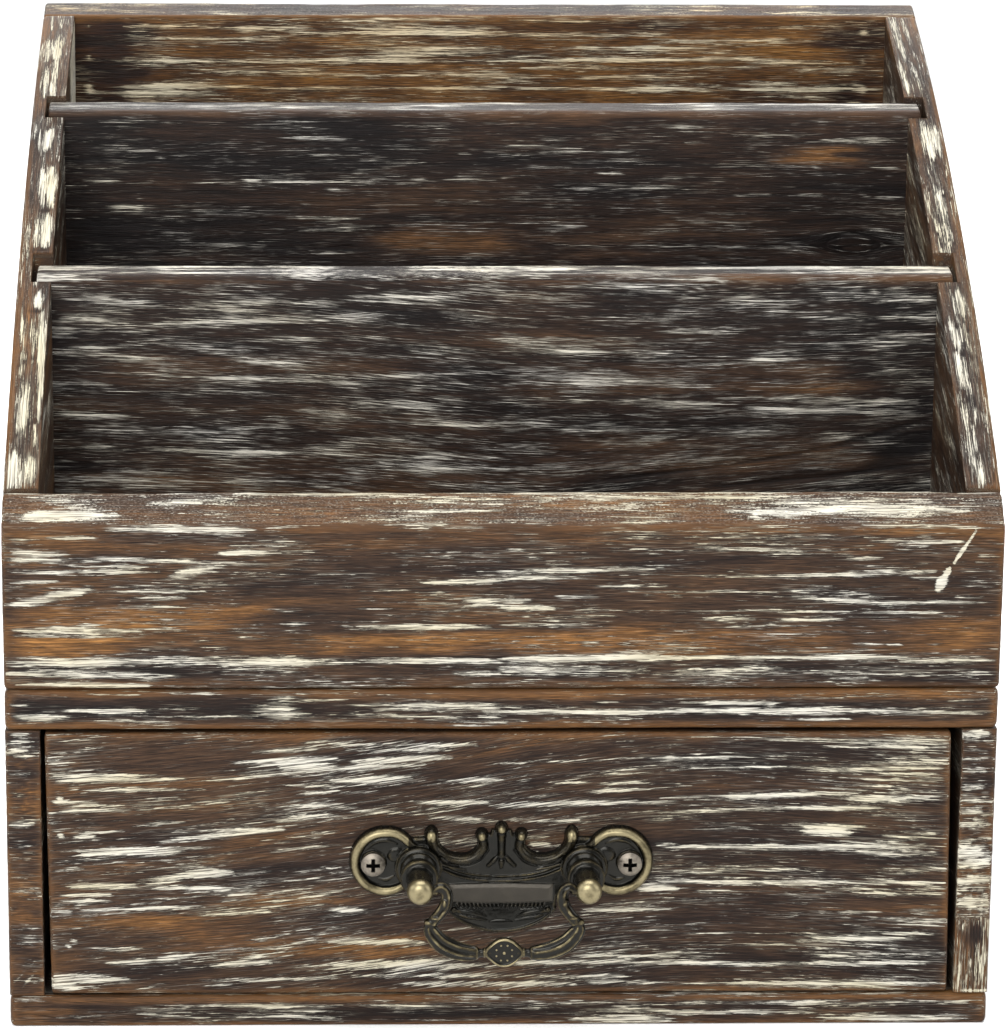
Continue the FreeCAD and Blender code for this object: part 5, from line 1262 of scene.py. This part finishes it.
def curve_through(pts, per=8):
    """Catmull-Rom points through (x, z, half width) or (x, y, z, ...) rows."""
    p = np.array(pts, float)
    p = np.vstack([2 * p[0] - p[1], p, 2 * p[-1] - p[-2]])
    out = []
    for i in range(1, len(p) - 2):
        for k in range(per):
            t = k / per
            out.append(0.5 * ((2 * p[i]) + (-p[i - 1] + p[i + 1]) * t + (2 * p[i - 1] - 5 * p[i] + 4 * p[i + 1] - p[i + 2]) * t * t
                              + (-p[i - 1] + 3 * p[i] - 3 * p[i + 1] + p[i + 2]) * t ** 3))
    out.append(p[-2])
    return np.array(out)


def smax(a, b, k=0.22):
    t = np.clip(0.5 + 0.5 * (a - b) / k, 0, 1)
    return b * (1 - t) + a * t + k * t * (1 - t)


def bead(X, Z, pts, base, k, per=8):
    d, w = capsule_chain(X, Z, curve_through(pts, per) if per else pts)
    u = np.clip(1 + d / w, 0, 1)
    return np.where(d < 0, base + k * w * np.sqrt(np.clip(1 - u * u, 0, 1)), base - 7 * d)


def ball(X, Z, x, z, rx, rz, base, h, tilt=0.0):
    c, s_ = math.cos(tilt), math.sin(tilt)
    a, b = (X - x) * c + (Z - z) * s_, -(X - x) * s_ + (Z - z) * c
    r = np.hypot(a / rx, b / rz)
    return np.where(r < 1, base + h * np.sqrt(np.clip(1 - r * r, 0, 1)), base - 7 * (r - 1) * min(rx, rz))


def inside_polygon(X, Z, pts):
    """Signed distance to a polygon, below zero inside."""
    n = len(pts)
    best = np.full(X.shape, 1e3)
    inside = np.zeros(X.shape, bool)
    for i in range(n):
        (x0, z0), (x1, z1) = pts[i], pts[(i + 1) % n]
        dx, dz = x1 - x0, z1 - z0
        t = np.clip(((X - x0) * dx + (Z - z0) * dz) / (dx * dx + dz * dz), 0, 1)
        best = np.minimum(best, np.hypot(X - x0 - dx * t, Z - z0 - dz * t))
        cross = ((z0 > Z) != (z1 > Z)) & (X < (x1 - x0) * (Z - z0) / ((z1 - z0) or 1e-9) + x0)
        inside ^= cross
    return np.where(inside, -best, best)


def plate_height(X, Z):
    """How far the backplate stands out of the wood. It is the same on both sides of its middle."""
    x = -np.abs(X)
    half = [(0.0, 54.2), (-1.4, 53.4), (-2.4, 51.9), (-3.6, 51.5), (-4.8, 51.8), (-5.3, 48.4), (-6.6, 46.2), (-9.6, 45.2),
            (-13.2, 45.9), (-15.9, 48.4), (-17.3, 50.6), (-19.2, 50.8), (-22.2, 50.6), (-25.0, 51.0), (-26.5, 37.0),
            (-20.0, 36.4), (-14.2, 35.0), (-13.8, 31.6), (-11.2, 29.0), (-8.1, 27.3), (-4.2, 25.95), (0.0, 25.5)]
    full = half + [(-a, b) for a, b in reversed(half) if a < 0]
    d = inside_polygon(X, Z, full)
    edge = np.clip(1 + d / 0.7, 0, 1)
    H = np.where(d < 0, 1.05 * np.sqrt(np.clip(1 - edge ** 2, 0, 1)) + 0.05, 0.05 - 7 * d)
    # lobe with its rolled rim, which runs on into the shoulder
    r = np.hypot(x + 29.3, Z - 44.5)
    H = smax(H, np.where(r < 8.6, 1.0 + 0.25 * (r / 8.6) ** 2, 1.0 - 7 * (r - 8.6)), 0.1)
    ring = [(-29.3 + 7.75 * math.cos(math.radians(t)), 44.5 + 7.75 * math.sin(math.radians(t)), w)
            for t, w in ((-52, 1.0), (-75, 1.3), (-100, 1.35), (-130, 1.35), (-160, 1.35), (-190, 1.35), (-220, 1.35),
                         (-250, 1.35), (-280, 1.3), (-302, 1.2))]
    ring += [(-22.6, 48.75, 1.1), (-20.1, 47.0, 1.0), (-17.8, 45.3, 0.85), (-15.6, 44.0, 0.65), (-12.8, 43.0, 0.45),
             (-9.0, 42.1, 0.3)]
    H = smax(H, bead(x, Z, ring, 0.85, 1.45), 0.15)
    # a crescent and a boss in the dish
    H = smax(H, bead(x, Z, [(-34.2, 47.6, 0.2), (-31.9, 49.5, 0.5), (-29.2, 50.0, 0.6), (-26.6, 49.2, 0.35)], 0.95, 0.7), 0.2)
    H = smax(H, ball(x, Z, -26.7, 46.2, 2.2, 1.9, 1.0, 0.55, 0.4), 0.12)
    H = smax(H, bead(x, Z, [(-27.2, 40.6, 0.3), (-29.0, 39.6, 0.5), (-31.2, 39.9, 0.3)], 0.95, 0.7), 0.2)
    # U-shaped scroll between two bulbs
    scroll = [(-17.7, 51.0, 1.6), (-17.4, 49.4, 1.5), (-16.3, 47.5, 1.4), (-13.7, 45.5, 1.45), (-9.8, 44.75, 1.5),
              (-6.6, 45.8, 1.5), (-4.75, 48.0, 1.4), (-4.8, 50.2, 1.25)]
    H = smax(H, bead(x, Z, scroll, 0.8, 1.45), 0.12)
    H = smax(H, ball(x, Z, -17.75, 51.3, 1.7, 2.3, 0.8, 2.6), 0.12)
    H = smax(H, ball(x, Z, -5.0, 51.3, 1.55, 1.7, 0.8, 2.4), 0.12)
    groove = capsule_chain(x, Z, curve_through([(-15.6, 46.2, .16), (-13.0, 44.4, .2), (-9.6, 43.5, .2), (-6.0, 44.6, .2),
                                                (-3.6, 47.4, .16)], 8))[0]
    H = H - 0.35 * np.exp(-(np.maximum(groove, 0) / 0.25) ** 2)
    # finial, stem and three leaves
    H = smax(H, ball(x, Z, 0.0, 53.1, 1.55, 1.5, 0.9, 2.1), 0.12)
    H = smax(H, bead(x, Z, [(0.0, 52.2, 1.2), (0.0, 50.0, 1.0), (0.0, 47.4, 0.95), (0.0, 46.0, 1.05)], 0.9, 1.15), 0.12)
    H = smax(H, bead(x, Z, [(-2.2, 52.3, 0.3), (-2.9, 49.6, 0.3), (-2.6, 47.2, 0.3), (-1.6, 45.4, 0.3)], 0.9, 0.7), 0.2)
    H = smax(H, bead(x, Z, [(0.0, 45.6, 0.35), (0.0, 44.4, 0.75), (0.0, 42.9, 0.45)], 1.0, 1.3), 0.1)
    H = smax(H, bead(x, Z, [(-0.9, 46.0, 0.4), (-2.0, 44.6, 0.62), (-3.3, 43.3, 0.5)], 1.0, 1.3), 0.1)
    # shoulder line, panel with its rolled edges
    line = [(-15.4, 42.5, 0.26), (-11.6, 40.85, 0.3), (-7.5, 39.85, 0.3), (-3.8, 39.45, 0.3), (0.0, 39.35, 0.3),
            (3.8, 39.45, 0.3)]
    H = smax(H, bead(x, Z, line, 1.55, 1.3), 0.08)
    H = smax(H, bead(x, Z, [(-14.8, 43.6, 0.2), (-11.0, 41.9, 0.22), (-6.6, 40.85, 0.22), (0.0, 40.4, 0.22), (3.0, 40.4, .2)],
                     1.2, 1.2), 0.08)
    px = np.abs(x) - 13.25
    arc = 38.75 - 0.0021 * x * x
    pz = np.maximum(Z - arc, 33.15 + 0.003 * x * x - Z)
    box = np.maximum(px, pz)
    H = smax(H, np.where(box < 0, 1.35 + 0.55 * np.clip(-box / 1.1, 0, 1) ** 0.8, 1.35 - 3 * box), 0.15)
    # a row of slanting beads under the panel
    pitch = 1.02
    k = np.floor(np.abs(x) / pitch) + 0.5
    cx = -k * pitch
    a, b = (x - cx) + 0.45 * (Z - 32.55), (Z - 32.55 - 0.004 * x * x)
    rr = np.hypot(a / 0.40, b / 0.72)
    row = np.where((rr < 1) & (np.abs(x) < 11.3), 1.4 + 0.6 * np.sqrt(np.clip(1 - rr * rr, 0, 1)), -1.0)
    H = smax(H, row, 0.06)
    # two curled leaves and a plain field below
    for leaf, base in (([(-3.9, 29.5, 0.25), (-6.4, 30.6, 0.75), (-9.2, 31.2, 0.8), (-11.4, 31.3, 0.5)], 1.2),
                       ([(-3.7, 28.6, 0.2), (-6.2, 29.3, 0.5), (-8.8, 29.7, 0.55), (-10.6, 30.2, 0.3)], 1.15),
                       ([(-5.0, 31.4, 0.2), (-7.8, 31.9, 0.28), (-10.8, 32.2, 0.25)], 1.15)):
        H = smax(H, bead(x, Z, leaf, base, 1.05), 0.1)
    H = smax(H, ball(x, Z, -11.9, 31.5, 0.85, 0.8, 1.2, 0.95), 0.1)
    H = smax(H, bead(x, Z, [(-13.7, 31.7, 0.3), (-11.1, 29.25, 0.36), (-8.1, 27.6, 0.4), (-4.2, 26.3, 0.42), (0.0, 25.9, 0.42),
                            (4.2, 26.3, 0.42)], 1.1, 1.3), 0.08)
    H = smax(H, ball(x, Z, 0.0, 28.0, 3.2, 0.95, 1.05, 0.3), 0.1)
    # seats
    r = np.hypot(x + 20.95, Z - 42.9)
    H = np.where(r < 6.0, 1.8, H)
    r = np.hypot(x + 32.45, Z - 44.1)
    H = np.where(r < 3.3, np.minimum(1.8, np.maximum(H, 1.8)), H)
    return np.clip(H, -0.4, None)


def make_backplate():
    step = 0.17
    xs = np.arange(-39.1, 39.1 + step / 2, step)
    zs = np.arange(24.6, 55.4 + step / 2, step)
    Z, X = np.meshgrid(zs, xs, indexing="ij")
    H = plate_height(X, Z)
    H = H + 0.05 * (fnoise(X / 1.3, Z / 1.3, 0, 91, 2) - 0.5) * (H > 0.4)
    idx = np.arange(X.size).reshape(X.shape)
    keep = np.maximum.reduce([H[:-1, :-1], H[1:, :-1], H[1:, 1:], H[:-1, 1:]]) > -0.39
    quads = np.stack([idx[:-1, :-1][keep], idx[:-1, 1:][keep], idx[1:, 1:][keep], idx[1:, :-1][keep]], axis=1)
    used = np.unique(quads)
    remap = np.full(X.size, -1)
    remap[used] = np.arange(len(used))
    verts = np.stack([X.ravel()[used], FRONT - H.ravel()[used], Z.ravel()[used]], axis=1)

    def panel(co):
        ax = np.abs(co[:, 0])
        inside = np.minimum(np.minimum(13.3 - ax, co[:, 2] - 33.1), 38.8 - co[:, 2])
        return np.clip(inside / 0.6, 0, 1) * (co[:, 1] < FRONT - 1.3)

    def lift(co):
        h = FRONT - co[:, 1]
        ax = np.abs(co[:, 0])
        lobe = np.clip((h - 1.2) / 1.0, 0, 1) * (np.abs(np.hypot(ax - 29.3, co[:, 2] - 44.5) - 7.8) < 1.7) * (ax > 23.5)
        bulb = np.clip((h - 2.5) / 0.6, 0, 1) * (co[:, 2] > 50.0)
        low = np.clip((33.4 - co[:, 2]) / 1.0, 0, 1) * (np.hypot(ax, (co[:, 2] - 41.0)) < 14.2)
        scroll = (co[:, 2] > 43.0) & (co[:, 2] < 50.0) & (ax < 20.0)
        return 0.65 * lobe + 0.8 * bulb - 1.0 * panel(co) - 0.45 * low - 0.15 * scroll - 0.25
    return metal_piece("pull_backplate_cast", verts, remap[quads], "drawer", ["pull_backplate"], brass,
                       lift, panel)


make_backplate()


def turned(profile, axis_point, outward, segs=72):
    """Surface of revolution round an axis along Y: profile of (radius, distance out)."""
    prof = np.array(profile, float)
    verts, faces = [], []
    for r, o in prof:
        for k in range(segs):
            a = 2 * math.pi * k / segs
            verts.append((axis_point[0] + r * math.cos(a), FRONT - o, axis_point[1] + r * math.sin(a)))
    n = len(prof)
    for i in range(n - 1):
        for k in range(segs):
            j = (k + 1) % segs
            faces.append((i * segs + k, i * segs + j, (i + 1) * segs + j, (i + 1) * segs + k))
    faces.append(tuple(range(segs))[::-1])
    faces.append(tuple((n - 1) * segs + k for k in range(segs)))
    return verts, faces


AXIS_Y, AXIS_Z = -109.5, 42.9


def make_post(name, node, sign):
    prof = [(0.2, 1.8), (5.2, 1.8), (5.5, 1.95), (5.6, 2.2), (5.6, 2.6), (5.58, 2.85), (5.45, 3.05), (5.25, 3.15), (4.9, 3.2),
            (4.7, 3.35), (4.6, 3.6), (4.45, 3.95), (4.1, 4.35), (3.75, 4.7), (3.55, 5.1), (3.5, 5.6), (3.5, 6.2), (3.5, 6.9),
            (3.52, 7.4), (3.65, 7.9), (3.95, 8.3), (4.3, 8.6), (4.58, 8.85), (4.69, 9.1), (4.7, 9.4), (4.7, 9.8), (4.68, 10.05),
            (4.55, 10.25), (4.3, 10.35), (3.9, 10.4), (3.6, 10.5), (3.4, 10.7), (3.3, 11.0), (3.27, 11.6)]
    prof += [(3.27, 11.6 + 0.5 * i) for i in range(1, 14)]
    prof += [(3.3, 18.7), (3.3, 19.3)]
    prof += [(3.3 * math.cos(math.radians(t)) ** 0.8, 19.4 + 2.5 * math.sin(math.radians(t))) for t in range(6, 90, 7)]
    prof += [(0.1, 21.9)]
    verts, faces = turned(prof, (sign * 20.95, AXIS_Z), 1)

    def lift(co):
        out = FRONT - co[:, 1]
        r = np.hypot(co[:, 0] - sign * 20.95, co[:, 2] - AXIS_Z)
        up = np.clip((co[:, 2] - AXIS_Z) / 3.0, 0, 1)
        # painted highlight: the term with up brightens the upper side of the shaft as if lit from above
        return (1.1 * np.clip((out - 18.6) / 1.6, 0, 1) + 0.5 * up * (out > 11) * (out < 18.6)
                + 0.35 * np.exp(-((r - 4.66) / 0.12) ** 2) * (out > 8.6) + 0.2 * np.exp(-((r - 5.55) / 0.1) ** 2) - 0.35)
    return metal_piece(name, verts, faces, "drawer", [node], brass, lift, None, 0.07, 10)


make_post("pull_left_post_turned", "pull_left_post", -1)
make_post("pull_right_post_turned", "pull_right_post", 1)


def sweep(rows, segs=28, flute=0.0, lobes=6):
    """Tube through (x, y, z, half width in the bail's plane, half depth) with optional flutes."""
    p = curve_through(rows, 10)
    c = p[:, :3]
    d = np.gradient(c, axis=0)
    d = d / np.linalg.norm(d, axis=1, keepdims=True)
    depth = np.array([0.0, 1.0, 0.0])
    side = np.cross(d, depth)
    side = side / np.maximum(np.linalg.norm(side, axis=1, keepdims=True), 1e-6)
    dep = np.cross(side, d)
    verts, faces = [], []
    n = len(c)
    for i in range(n):
        fade = math.sin(math.pi * min(max(i / (n - 1), 0), 1)) ** 0.5 if flute else 0.0
        for k in range(segs):
            a = 2 * math.pi * k / segs
            m = 1.0 + flute * fade * math.cos(lobes * a)
            verts.append(c[i] + side[i] * p[i, 3] * m * math.cos(a) + dep[i] * p[i, 4] * m * math.sin(a))
    for i in range(n - 1):
        for k in range(segs):
            j = (k + 1) % segs
            faces.append((i * segs + k, i * segs + j, (i + 1) * segs + j, (i + 1) * segs + k))
    faces.append(tuple(range(segs))[::-1])
    faces.append(tuple((n - 1) * segs + k for k in range(segs)))
    return [tuple(v) for v in verts], faces


def ellipsoid(c, r, nu=20, nv=12):
    verts, faces = [], []
    for i in range(nv + 1):
        t = math.pi * (0.02 + 0.96 * i / nv)
        for k in range(nu):
            a = 2 * math.pi * k / nu
            verts.append((c[0] + r[0] * math.sin(t) * math.cos(a), c[1] + r[1] * math.sin(t) * math.sin(a),
                          c[2] + r[2] * math.cos(t)))
    for i in range(nv):
        for k in range(nu):
            j = (k + 1) % nu
            faces.append((i * nu + k, (i + 1) * nu + k, (i + 1) * nu + j, i * nu + j))
    faces.append(tuple(range(nu)))
    faces.append(tuple(nv * nu + k for k in range(nu))[::-1])
    return verts, faces


def joined(pieces):
    verts, faces = [], []
    for v, f in pieces:
        k = len(verts)
        verts += list(v)
        faces += [tuple(i + k for i in q) for q in f]
    return verts, faces


def cast_together(pieces, voxel, smooth_rounds=2):
    """Fuse overlapping closed pieces into one cast skin."""
    verts, faces = joined(pieces)
    me = bpy.data.meshes.new("casting")
    me.from_pydata([tuple(np.array(v) * MM) for v in verts], [], faces)
    me.update()
    bm = bmesh.new()
    bm.from_mesh(me)
    bmesh.ops.recalc_face_normals(bm, faces=bm.faces)
    bm.to_mesh(me)
    bm.free()
    ob = bpy.data.objects.new("casting", me)
    bpy.context.scene.collection.objects.link(ob)
    mod = ob.modifiers.new("fuse", "REMESH")
    mod.mode = "VOXEL"
    mod.voxel_size = voxel * MM
    sm = ob.modifiers.new("ease", "SMOOTH")
    sm.factor, sm.iterations = 0.5, smooth_rounds
    dg = bpy.context.evaluated_depsgraph_get()
    out = bpy.data.meshes.new_from_object(ob.evaluated_get(dg))
    n = len(out.vertices)
    co = np.zeros(n * 3)
    out.vertices.foreach_get("co", co)
    v = co.reshape(-1, 3) / MM
    f = [tuple(q.vertices) for q in out.polygons]
    bpy.data.objects.remove(ob)
    bpy.data.meshes.remove(me)
    bpy.data.meshes.remove(out)
    return v, f


def make_bail():
    y = AXIS_Y
    pieces = []
    for s in (-1, 1):
        def P(x, z, w, t, dy=0.0):
            return (s * x, y + dy, AXIS_Z + z, w, t)

        def knob(x, z, r, dy=0.0):
            return ellipsoid((s * x, y + dy, AXIS_Z + z), r)
        # pin in the post, the curl, and the neck down to the knuckle
        pieces.append(sweep([P(20.1, 0.0, 1.02, 1.02), P(18.2, 0.0, 1.02, 1.02), P(16.9, 0.3, 1.1, 1.1)]))
        pieces.append(sweep([P(17.4, 0.3, 1.1, 1.1), P(16.2, 1.2, 1.2, 1.2), P(14.9, 0.6, 1.3, 1.25), P(14.3, -1.1, 1.4, 1.35),
                             P(14.7, -3.4, 1.45, 1.4), P(16.0, -5.6, 1.4, 1.35), P(17.2, -7.0, 1.4, 1.3), P(18.0, -8.3, 1.4, 1.3)],
                            32, 0.16, 5))
        pieces.append(knob(18.7, -8.0, (1.35, 1.35, 1.0)))
        pieces.append(knob(17.1, -6.7, (1.5, 1.45, 0.55), -0.1))
        pieces.append(knob(14.9, -2.9, (0.8, 0.95, 1.5), -0.7))
        # fluted arm with a rounded end
        pieces.append(sweep([P(18.5, -8.2, 1.1, 1.1), P(18.3, -10.2, 1.8, 1.35), P(15.7, -13.4, 2.2, 1.5), P(12.1, -15.3, 2.2, 1.5),
                             P(8.9, -16.0, 2.0, 1.4), P(7.0, -16.1, 1.75, 1.3)], 44, 0.16, 7))
        pieces.append(knob(6.9, -16.1, (0.75, 1.35, 1.75)))
        pieces.append(sweep([P(7.4, -16.2, 1.2, 1.1), P(5.4, -16.0, 1.05, 1.0), P(3.0, -15.8, 1.1, 1.0)]))
        pieces.append(knob(4.9, -15.95, (0.5, 1.2, 1.3), -0.1))
    v, f = cast_together(pieces, 0.2, 2)
    # medallion: a low dish with a rim, a ring of dots and one in the middle
    prof = [(0.05, -1.25), (2.6, -1.25), (3.2, -1.0), (3.5, -0.5), (3.6, 0.0), (3.6, 0.6), (3.55, 0.95), (3.4, 1.2), (3.2, 1.32),
            (3.1, 1.3), (2.98, 1.15), (2.9, 1.0), (2.6, 0.95), (2.0, 1.0), (1.2, 1.08), (0.5, 1.1), (0.05, 1.1)]
    mv, mf = [], []
    segs = 64
    mid_z = AXIS_Z - 15.75
    for r, o in prof:
        for k in range(segs):
            a = 2 * math.pi * k / segs
            ear = 1.0 + 0.26 * abs(math.cos(a)) ** 7
            mv.append((1.1 * r * ear * math.cos(a), y - o, mid_z + 1.05 * r * math.sin(a)))
    for i in range(len(prof) - 1):
        for k in range(segs):
            j = (k + 1) % segs
            mf.append((i * segs + k, i * segs + j, (i + 1) * segs + j, (i + 1) * segs + k))
    mf.append(tuple(range(segs))[::-1])
    mf.append(tuple((len(prof) - 1) * segs + k for k in range(segs)))
    extra = [(mv, mf), ellipsoid((0, y - 1.1, mid_z), (0.42, 0.34, 0.42), 12, 8)]
    for k in range(8):
        a = 2 * math.pi * k / 8 + math.pi / 8
        extra.append(ellipsoid((2.1 * math.cos(a), y - 1.0, mid_z + 2.1 * math.sin(a)), (0.3, 0.32, 0.3), 10, 6))
    v2, f2 = joined([(v, f)] + extra)

    def lift(co):
        front = np.clip((y - co[:, 1] - 0.3) / 0.8, 0, 1)
        dots = (np.hypot(co[:, 0], co[:, 2] - mid_z) < 3.7)
        bumps = dots & (co[:, 1] < y - 1.14)
        return 0.2 * front + 0.8 * bumps - 0.02 - 0.3 * dots
    return metal_piece("pull_bail_cast", v2, f2, "bail", ["pull_bail"], brass, lift, None, 0.06, 8)


make_bail()


# ----------------------------------------------------------------------
# Materials of the CAD nodes that stay
# ----------------------------------------------------------------------
def steel_material(name, base, rough, recess=False):
    """Plated steel with fine turning marks; the cross recess of the pull's screws is painted near black as painted
    shade.
    """
    N = Nodes(name)
    tc = N.t.nodes.new("ShaderNodeTexCoord")
    v = tc.outputs["Object"]
    n = N.noise(v, 3.0, 0.6, 0.0, 900.0)
    scratch = N.noise(N.vmul(v, (300.0, 300.0, 3000.0)), 2.0, 0.5)
    col = N.mix(N.linear(n, 0.3, 0.7), tuple(c * 0.5 for c in base), base)
    if recess:
        sep = N.t.nodes.new("ShaderNodeSeparateXYZ")
        N.put(sep, 0, v)
        dx = N.math("ABSOLUTE", N.math("SUBTRACT", N.math("ABSOLUTE", sep.outputs["X"]), 0.03245))
        dz = N.math("ABSOLUTE", N.math("SUBTRACT", sep.outputs["Z"], 0.0441))
        arm = N.math("MINIMUM", N.math("MAXIMUM", dx, N.mul(dz, 3.5)), N.math("MAXIMUM", dz, N.mul(dx, 3.5)))
        # painted shade: the cross recess is painted near black
        deep = N.smooth(arm, 0.00180, 0.00168)
        edge = N.smooth(N.math("SQRT", N.add(N.mul(dx, dx), N.mul(dz, dz))), 0.0022, 0.0031)
        col = N.mix(N.mul(edge, 0.45), col, srgb("4b463f"))
        col = N.mix(deep, col, srgb("0b0a09"))
    N.put(N.bsdf, "Base Color", col)
    N.bsdf.inputs["Metallic"].default_value = 1.0
    N.put(N.bsdf, "Roughness", N.linear(n, 0.3, 0.7, rough, rough + 0.22))
    N.put(N.bsdf, "Normal", N.bump(N.add(n, scratch), 0.00003, 0.6))
    return N.mat


def plywood_material():
    """Stained plywood: long grain on the faces, thin plies on the edges."""
    N = Nodes("plywood_look")
    tc = N.t.nodes.new("ShaderNodeTexCoord")
    v = tc.outputs["Object"]
    fibre = N.noise(N.vmul(v, (60.0, 1900.0, 1900.0)), 3.0, 0.6)
    band = N.noise(N.vmul(v, (9.0, 120.0, 500.0)), 2.0, 0.5, 0.4)
    fleck = N.noise(N.vmul(v, (260.0, 3400.0, 3400.0)), 1.0, 0.5)
    col = N.ramp(N.add(N.mul(band, 0.7), N.mul(fibre, 0.35)),
                 [(0.25, srgb("2b1c12")), (0.5, srgb("4c3320")), (0.72, srgb("6d4a2c")), (1.0, srgb("87603a"))])
    col = N.mix(N.mul(N.smooth(fleck, 0.6, 0.7), 0.5), col, srgb("24170e"))
    N.put(N.bsdf, "Base Color", col)
    N.put(N.bsdf, "Roughness", N.linear(fibre, 0.3, 0.7, 0.42, 0.58))
    N.bsdf.inputs["Specular IOR Level"].default_value = 0.3
    N.put(N.bsdf, "Normal", N.bump(N.add(N.mul(fibre, 0.6), fleck), 0.0001, 0.7))
    return N.mat


screw_steel = steel_material("screw_steel_look", srgb("8d8579"), 0.34, True)
brad_steel = steel_material("brad_steel_look", srgb("8f8a80"), 0.3)
ply = plywood_material()


def give(node, mat):
    ob = NODES[node]
    ob.data.materials.clear()
    ob.data.materials.append(mat)


for n in NODES:
    if n.endswith("_brads"):
        give(n, brad_steel)
give("pull_screws", screw_steel)
give("sorter_base_screws", brad_steel)
give("drawer_bottom", ply)

# ----------------------------------------------------------------------
# Floor and light
# ----------------------------------------------------------------------
def floor_material():
    N = Nodes("studio_floor_look")
    N.put(N.bsdf, "Base Color", (0.92, 0.92, 0.92))
    N.put(N.bsdf, "Roughness", 0.7)
    return N.mat


def make_floor():
    me = bpy.data.meshes.new("studio_floor")
    s = 6.0
    me.from_pydata([(-s, -s, 0), (s, -s, 0), (s, s, 0), (-s, s, 0)], [], [(0, 1, 2, 3)])
    ob = bpy.data.objects.new("studio_floor", me)
    me.materials.append(floor_material())
    bpy.context.scene.collection.objects.link(ob)
    return ob


make_floor()


def area(name, place, target, size, power, color=(1, 1, 1)):
    data = bpy.data.lights.new(name, "AREA")
    data.shape = "RECTANGLE"
    data.size, data.size_y = size
    data.energy = power
    data.color = color
    ob = bpy.data.objects.new(name, data)
    bpy.context.scene.collection.objects.link(ob)
    ob.location = place
    d = Vector(target) - Vector(place)
    ob.rotation_euler = d.to_track_quat("-Z", "Y").to_euler()
    return ob


area("top_softbox", (0.0, 0.0, 1.3), (0, 0, 0.1), (1.2, 1.0), 20)
area("front_softbox", (-0.4, -1.6, 0.9), (0, 0, 0.1), (1.2, 1.0), 28)
area("rear_softbox", (0.0, 1.3, 0.8), (0, 0, 0.2), (1.6, 0.7), 13)
area("floor_softbox", (0.0, 2.6, 2.0), (0, 2.4, 0.0), (2.4, 1.2), 45)
area("right_softbox", (1.3, -0.6, 0.7), (0, 0, 0.12), (0.9, 0.9), 6)
area("left_softbox", (-1.3, -0.4, 0.7), (0, 0, 0.12), (0.9, 0.9), 6)
world = bpy.data.worlds.new("studio_world")
bpy.context.scene.world = world
world.use_nodes = True
bg = world.node_tree.nodes.get("Background") or world.node_tree.nodes.new("ShaderNodeBackground")
bg.inputs["Color"].default_value = (1, 1, 1, 1)
bg.inputs["Strength"].default_value = 0.42
bpy.context.scene.view_settings.view_transform = "Standard"
